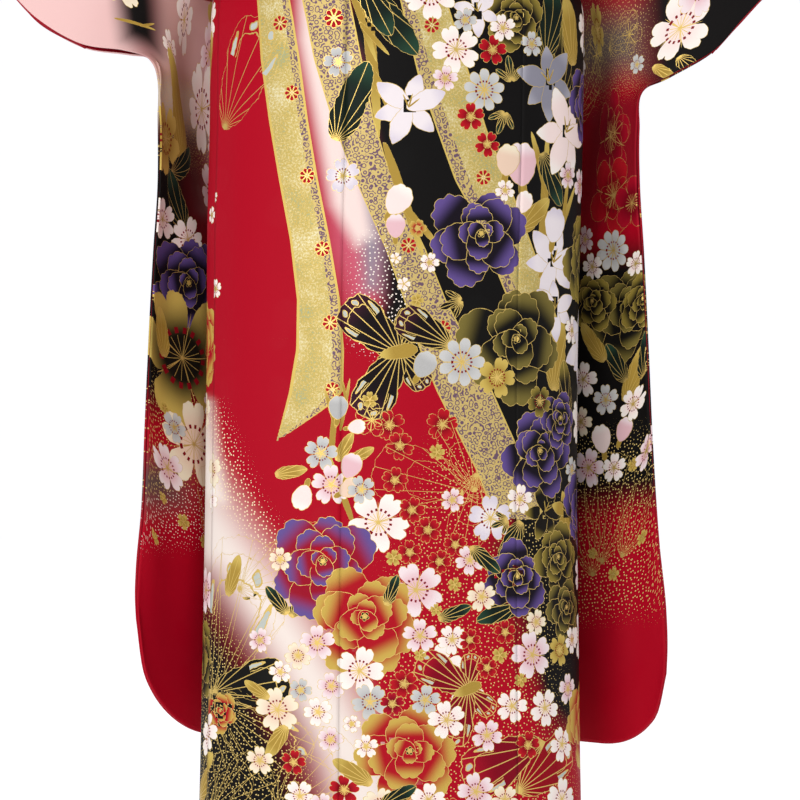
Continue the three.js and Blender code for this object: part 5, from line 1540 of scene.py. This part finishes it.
class FURISODE_OT_sleeves(bpy.types.Operator):
    """Add both long sleeves and the facing inside each cuff"""
    bl_idname = "furisode.sleeves"
    bl_label = "Sleeves"

    def execute(self, context):
        lining = crimson_lining()
        for word, spec in SLEEVES.items():
            side = spec["side"]
            columns = SEAM_COLUMNS + share(COLUMNS)[2:]
            grid = lengths(sleeve_grid(spec, columns, LAST_SLEEVE_ROW) * MM, side,
                           np.array(columns) * SLEEVE_WIDE * MM)
            fold = grid[LAST_SLEEVE_ROW, 0, 4]
            grid = refine(grid, SIZES.cell * SLEEVE_CELL)
            piece, values = build_sheet(f"silk_sleeve_{word}", grid, f"sleeve_{word}")
            shapes = []
            motifs = SLEEVE_LEFT_MOTIFS if side > 0 else SLEEVE_RIGHT_MOTIFS
            for facing in (1, -1):
                chosen = values[np.sign(values[:, 4] - fold) == facing]
                shapes += lay_out(motifs, drawn(chosen[:, :3]), chosen[:, 3:5], facing, True, SLANT)
            paint(piece, values[:, 3:5], drawn(values[:, :3]), shapes, f"sleeve_{word}")
            finish_piece(piece, f"sleeve_{word}", SIZES.cloth, dyed_silk(), lining)
            columns = [mix(1 - CUFF_FACING / SLEEVE_WIDE, FACING_TURN, t) for t in share(FACING_COLUMNS)]
            grid = refine(sleeve_grid(spec, columns, len(ARCH) + 1) * MM, SIZES.cell)
            back = SIZES.cloth + FACING_EASE * MM
            piece, _ = build_sheet(f"silk_cuff_{word}", grid, f"sleeve_{word}", back)
            finish_piece(piece, f"cuff_lining_{word}", FACING_CLOTH * MM, lining, lining)
        return {"FINISHED"}


FLOOR = -1.405
SKY = "#fafaff"
SKY_THROWN, SKY_SEEN = 0.34, 1.05  # strength of the light it throws, and that the camera sees
LAMPS = table(
    "name place aim size power",
    ("key", (-1.5, -3.1, 0.1), (0, 0, -0.9), 1.8, 68),
    ("fill", (2.2, -2.8, -0.4), (0, 0, -0.9), 2.0, 9),
    ("rear", (0.5, 3.0, 0.2), (0, 0, -0.8), 2.2, 34),
)


class FURISODE_OT_stage(bpy.types.Operator):
    """Add the pale floor and backdrop, the soft lights and the camera"""
    bl_idname = "furisode.stage"
    bl_label = "Stage"

    def execute(self, context):
        bm = bmesh.new()
        bmesh.ops.create_grid(bm, x_segments=1, y_segments=1, size=8)
        bmesh.ops.translate(bm, verts=bm.verts, vec=(0, 0, FLOOR))
        mesh = bpy.data.meshes.new("backdrop")
        bm.to_mesh(mesh)
        bm.free()
        mesh.materials.append(backdrop_paper())
        backdrop = bpy.data.objects.new("backdrop", mesh)
        context.collection.objects.link(backdrop)
        context.scene.view_settings.view_transform = "Standard"
        world = bpy.data.worlds.new("Soft studio light")
        context.scene.world = world
        world.use_nodes = True
        tree = world.node_tree
        # the paper behind looks brighter than the light it throws on the cloth
        seen = add(tree, "LightPath").outputs["Is Camera Ray"]
        strength = add(tree, "MapRange", {0: seen, 3: SKY_THROWN, 4: SKY_SEEN})
        tree.nodes["Background"].inputs["Color"].default_value = rgba(SKY)
        tree.links.new(strength.outputs[0], tree.nodes["Background"].inputs["Strength"])
        for row in LAMPS:
            light = bpy.data.lights.new(row["name"], "AREA")
            light.size, light.energy = row["size"], row["power"]
            lamp = bpy.data.objects.new(row["name"], light)
            lamp.location = row["place"]
            direction = Vector(row["aim"]) - Vector(row["place"])
            lamp.rotation_euler = direction.to_track_quat("-Z", "Y").to_euler()
            context.collection.objects.link(lamp)
        lens = bpy.data.cameras.new("camera")
        lens.sensor_fit = "HORIZONTAL"
        lens.angle = 2 * math.atan(HALF_VIEW / EYE_AWAY)
        camera = bpy.data.objects.new("camera", lens)
        camera.location = (EYE_X, -EYE_AWAY, EYE_Z)
        camera.rotation_euler = (math.pi / 2, 0, 0)
        context.collection.objects.link(camera)
        context.scene.camera = camera
        return {"FINISHED"}


class FURISODE_PT_panel(bpy.types.Panel):
    """Buttons that add the garment's parts"""
    bl_label = "Furisode"
    bl_idname = "FURISODE_PT_panel"
    bl_space_type = "VIEW_3D"
    bl_region_type = "UI"
    bl_category = "Furisode"

    def draw(self, context):
        for operator in OPERATORS:
            self.layout.operator(operator.bl_idname)


OPERATORS = (FURISODE_OT_skirt, FURISODE_OT_body, FURISODE_OT_collar, FURISODE_OT_obi,
             FURISODE_OT_sleeves, FURISODE_OT_stage)
CLASSES = (FurisodeSizes, FurisodeColours) + OPERATORS + (FURISODE_PT_panel,)


def register():
    for cls in CLASSES:
        bpy.utils.register_class(cls)
    bpy.types.Scene.furisode_sizes = PointerProperty(type=FurisodeSizes)
    bpy.types.Scene.furisode_colours = PointerProperty(type=FurisodeColours)


def unregister():
    del bpy.types.Scene.furisode_sizes
    del bpy.types.Scene.furisode_colours
    for cls in reversed(CLASSES):
        bpy.utils.unregister_class(cls)


def main():
    global SIZES, COLOURS
    register()
    SIZES = bpy.context.scene.furisode_sizes
    COLOURS = bpy.context.scene.furisode_colours
    bpy.ops.furisode.skirt()
    bpy.ops.furisode.body()
    bpy.ops.furisode.collar()
    bpy.ops.furisode.obi()
    bpy.ops.furisode.sleeves()
    bpy.ops.furisode.stage()


if __name__ == "__main__":
    main()
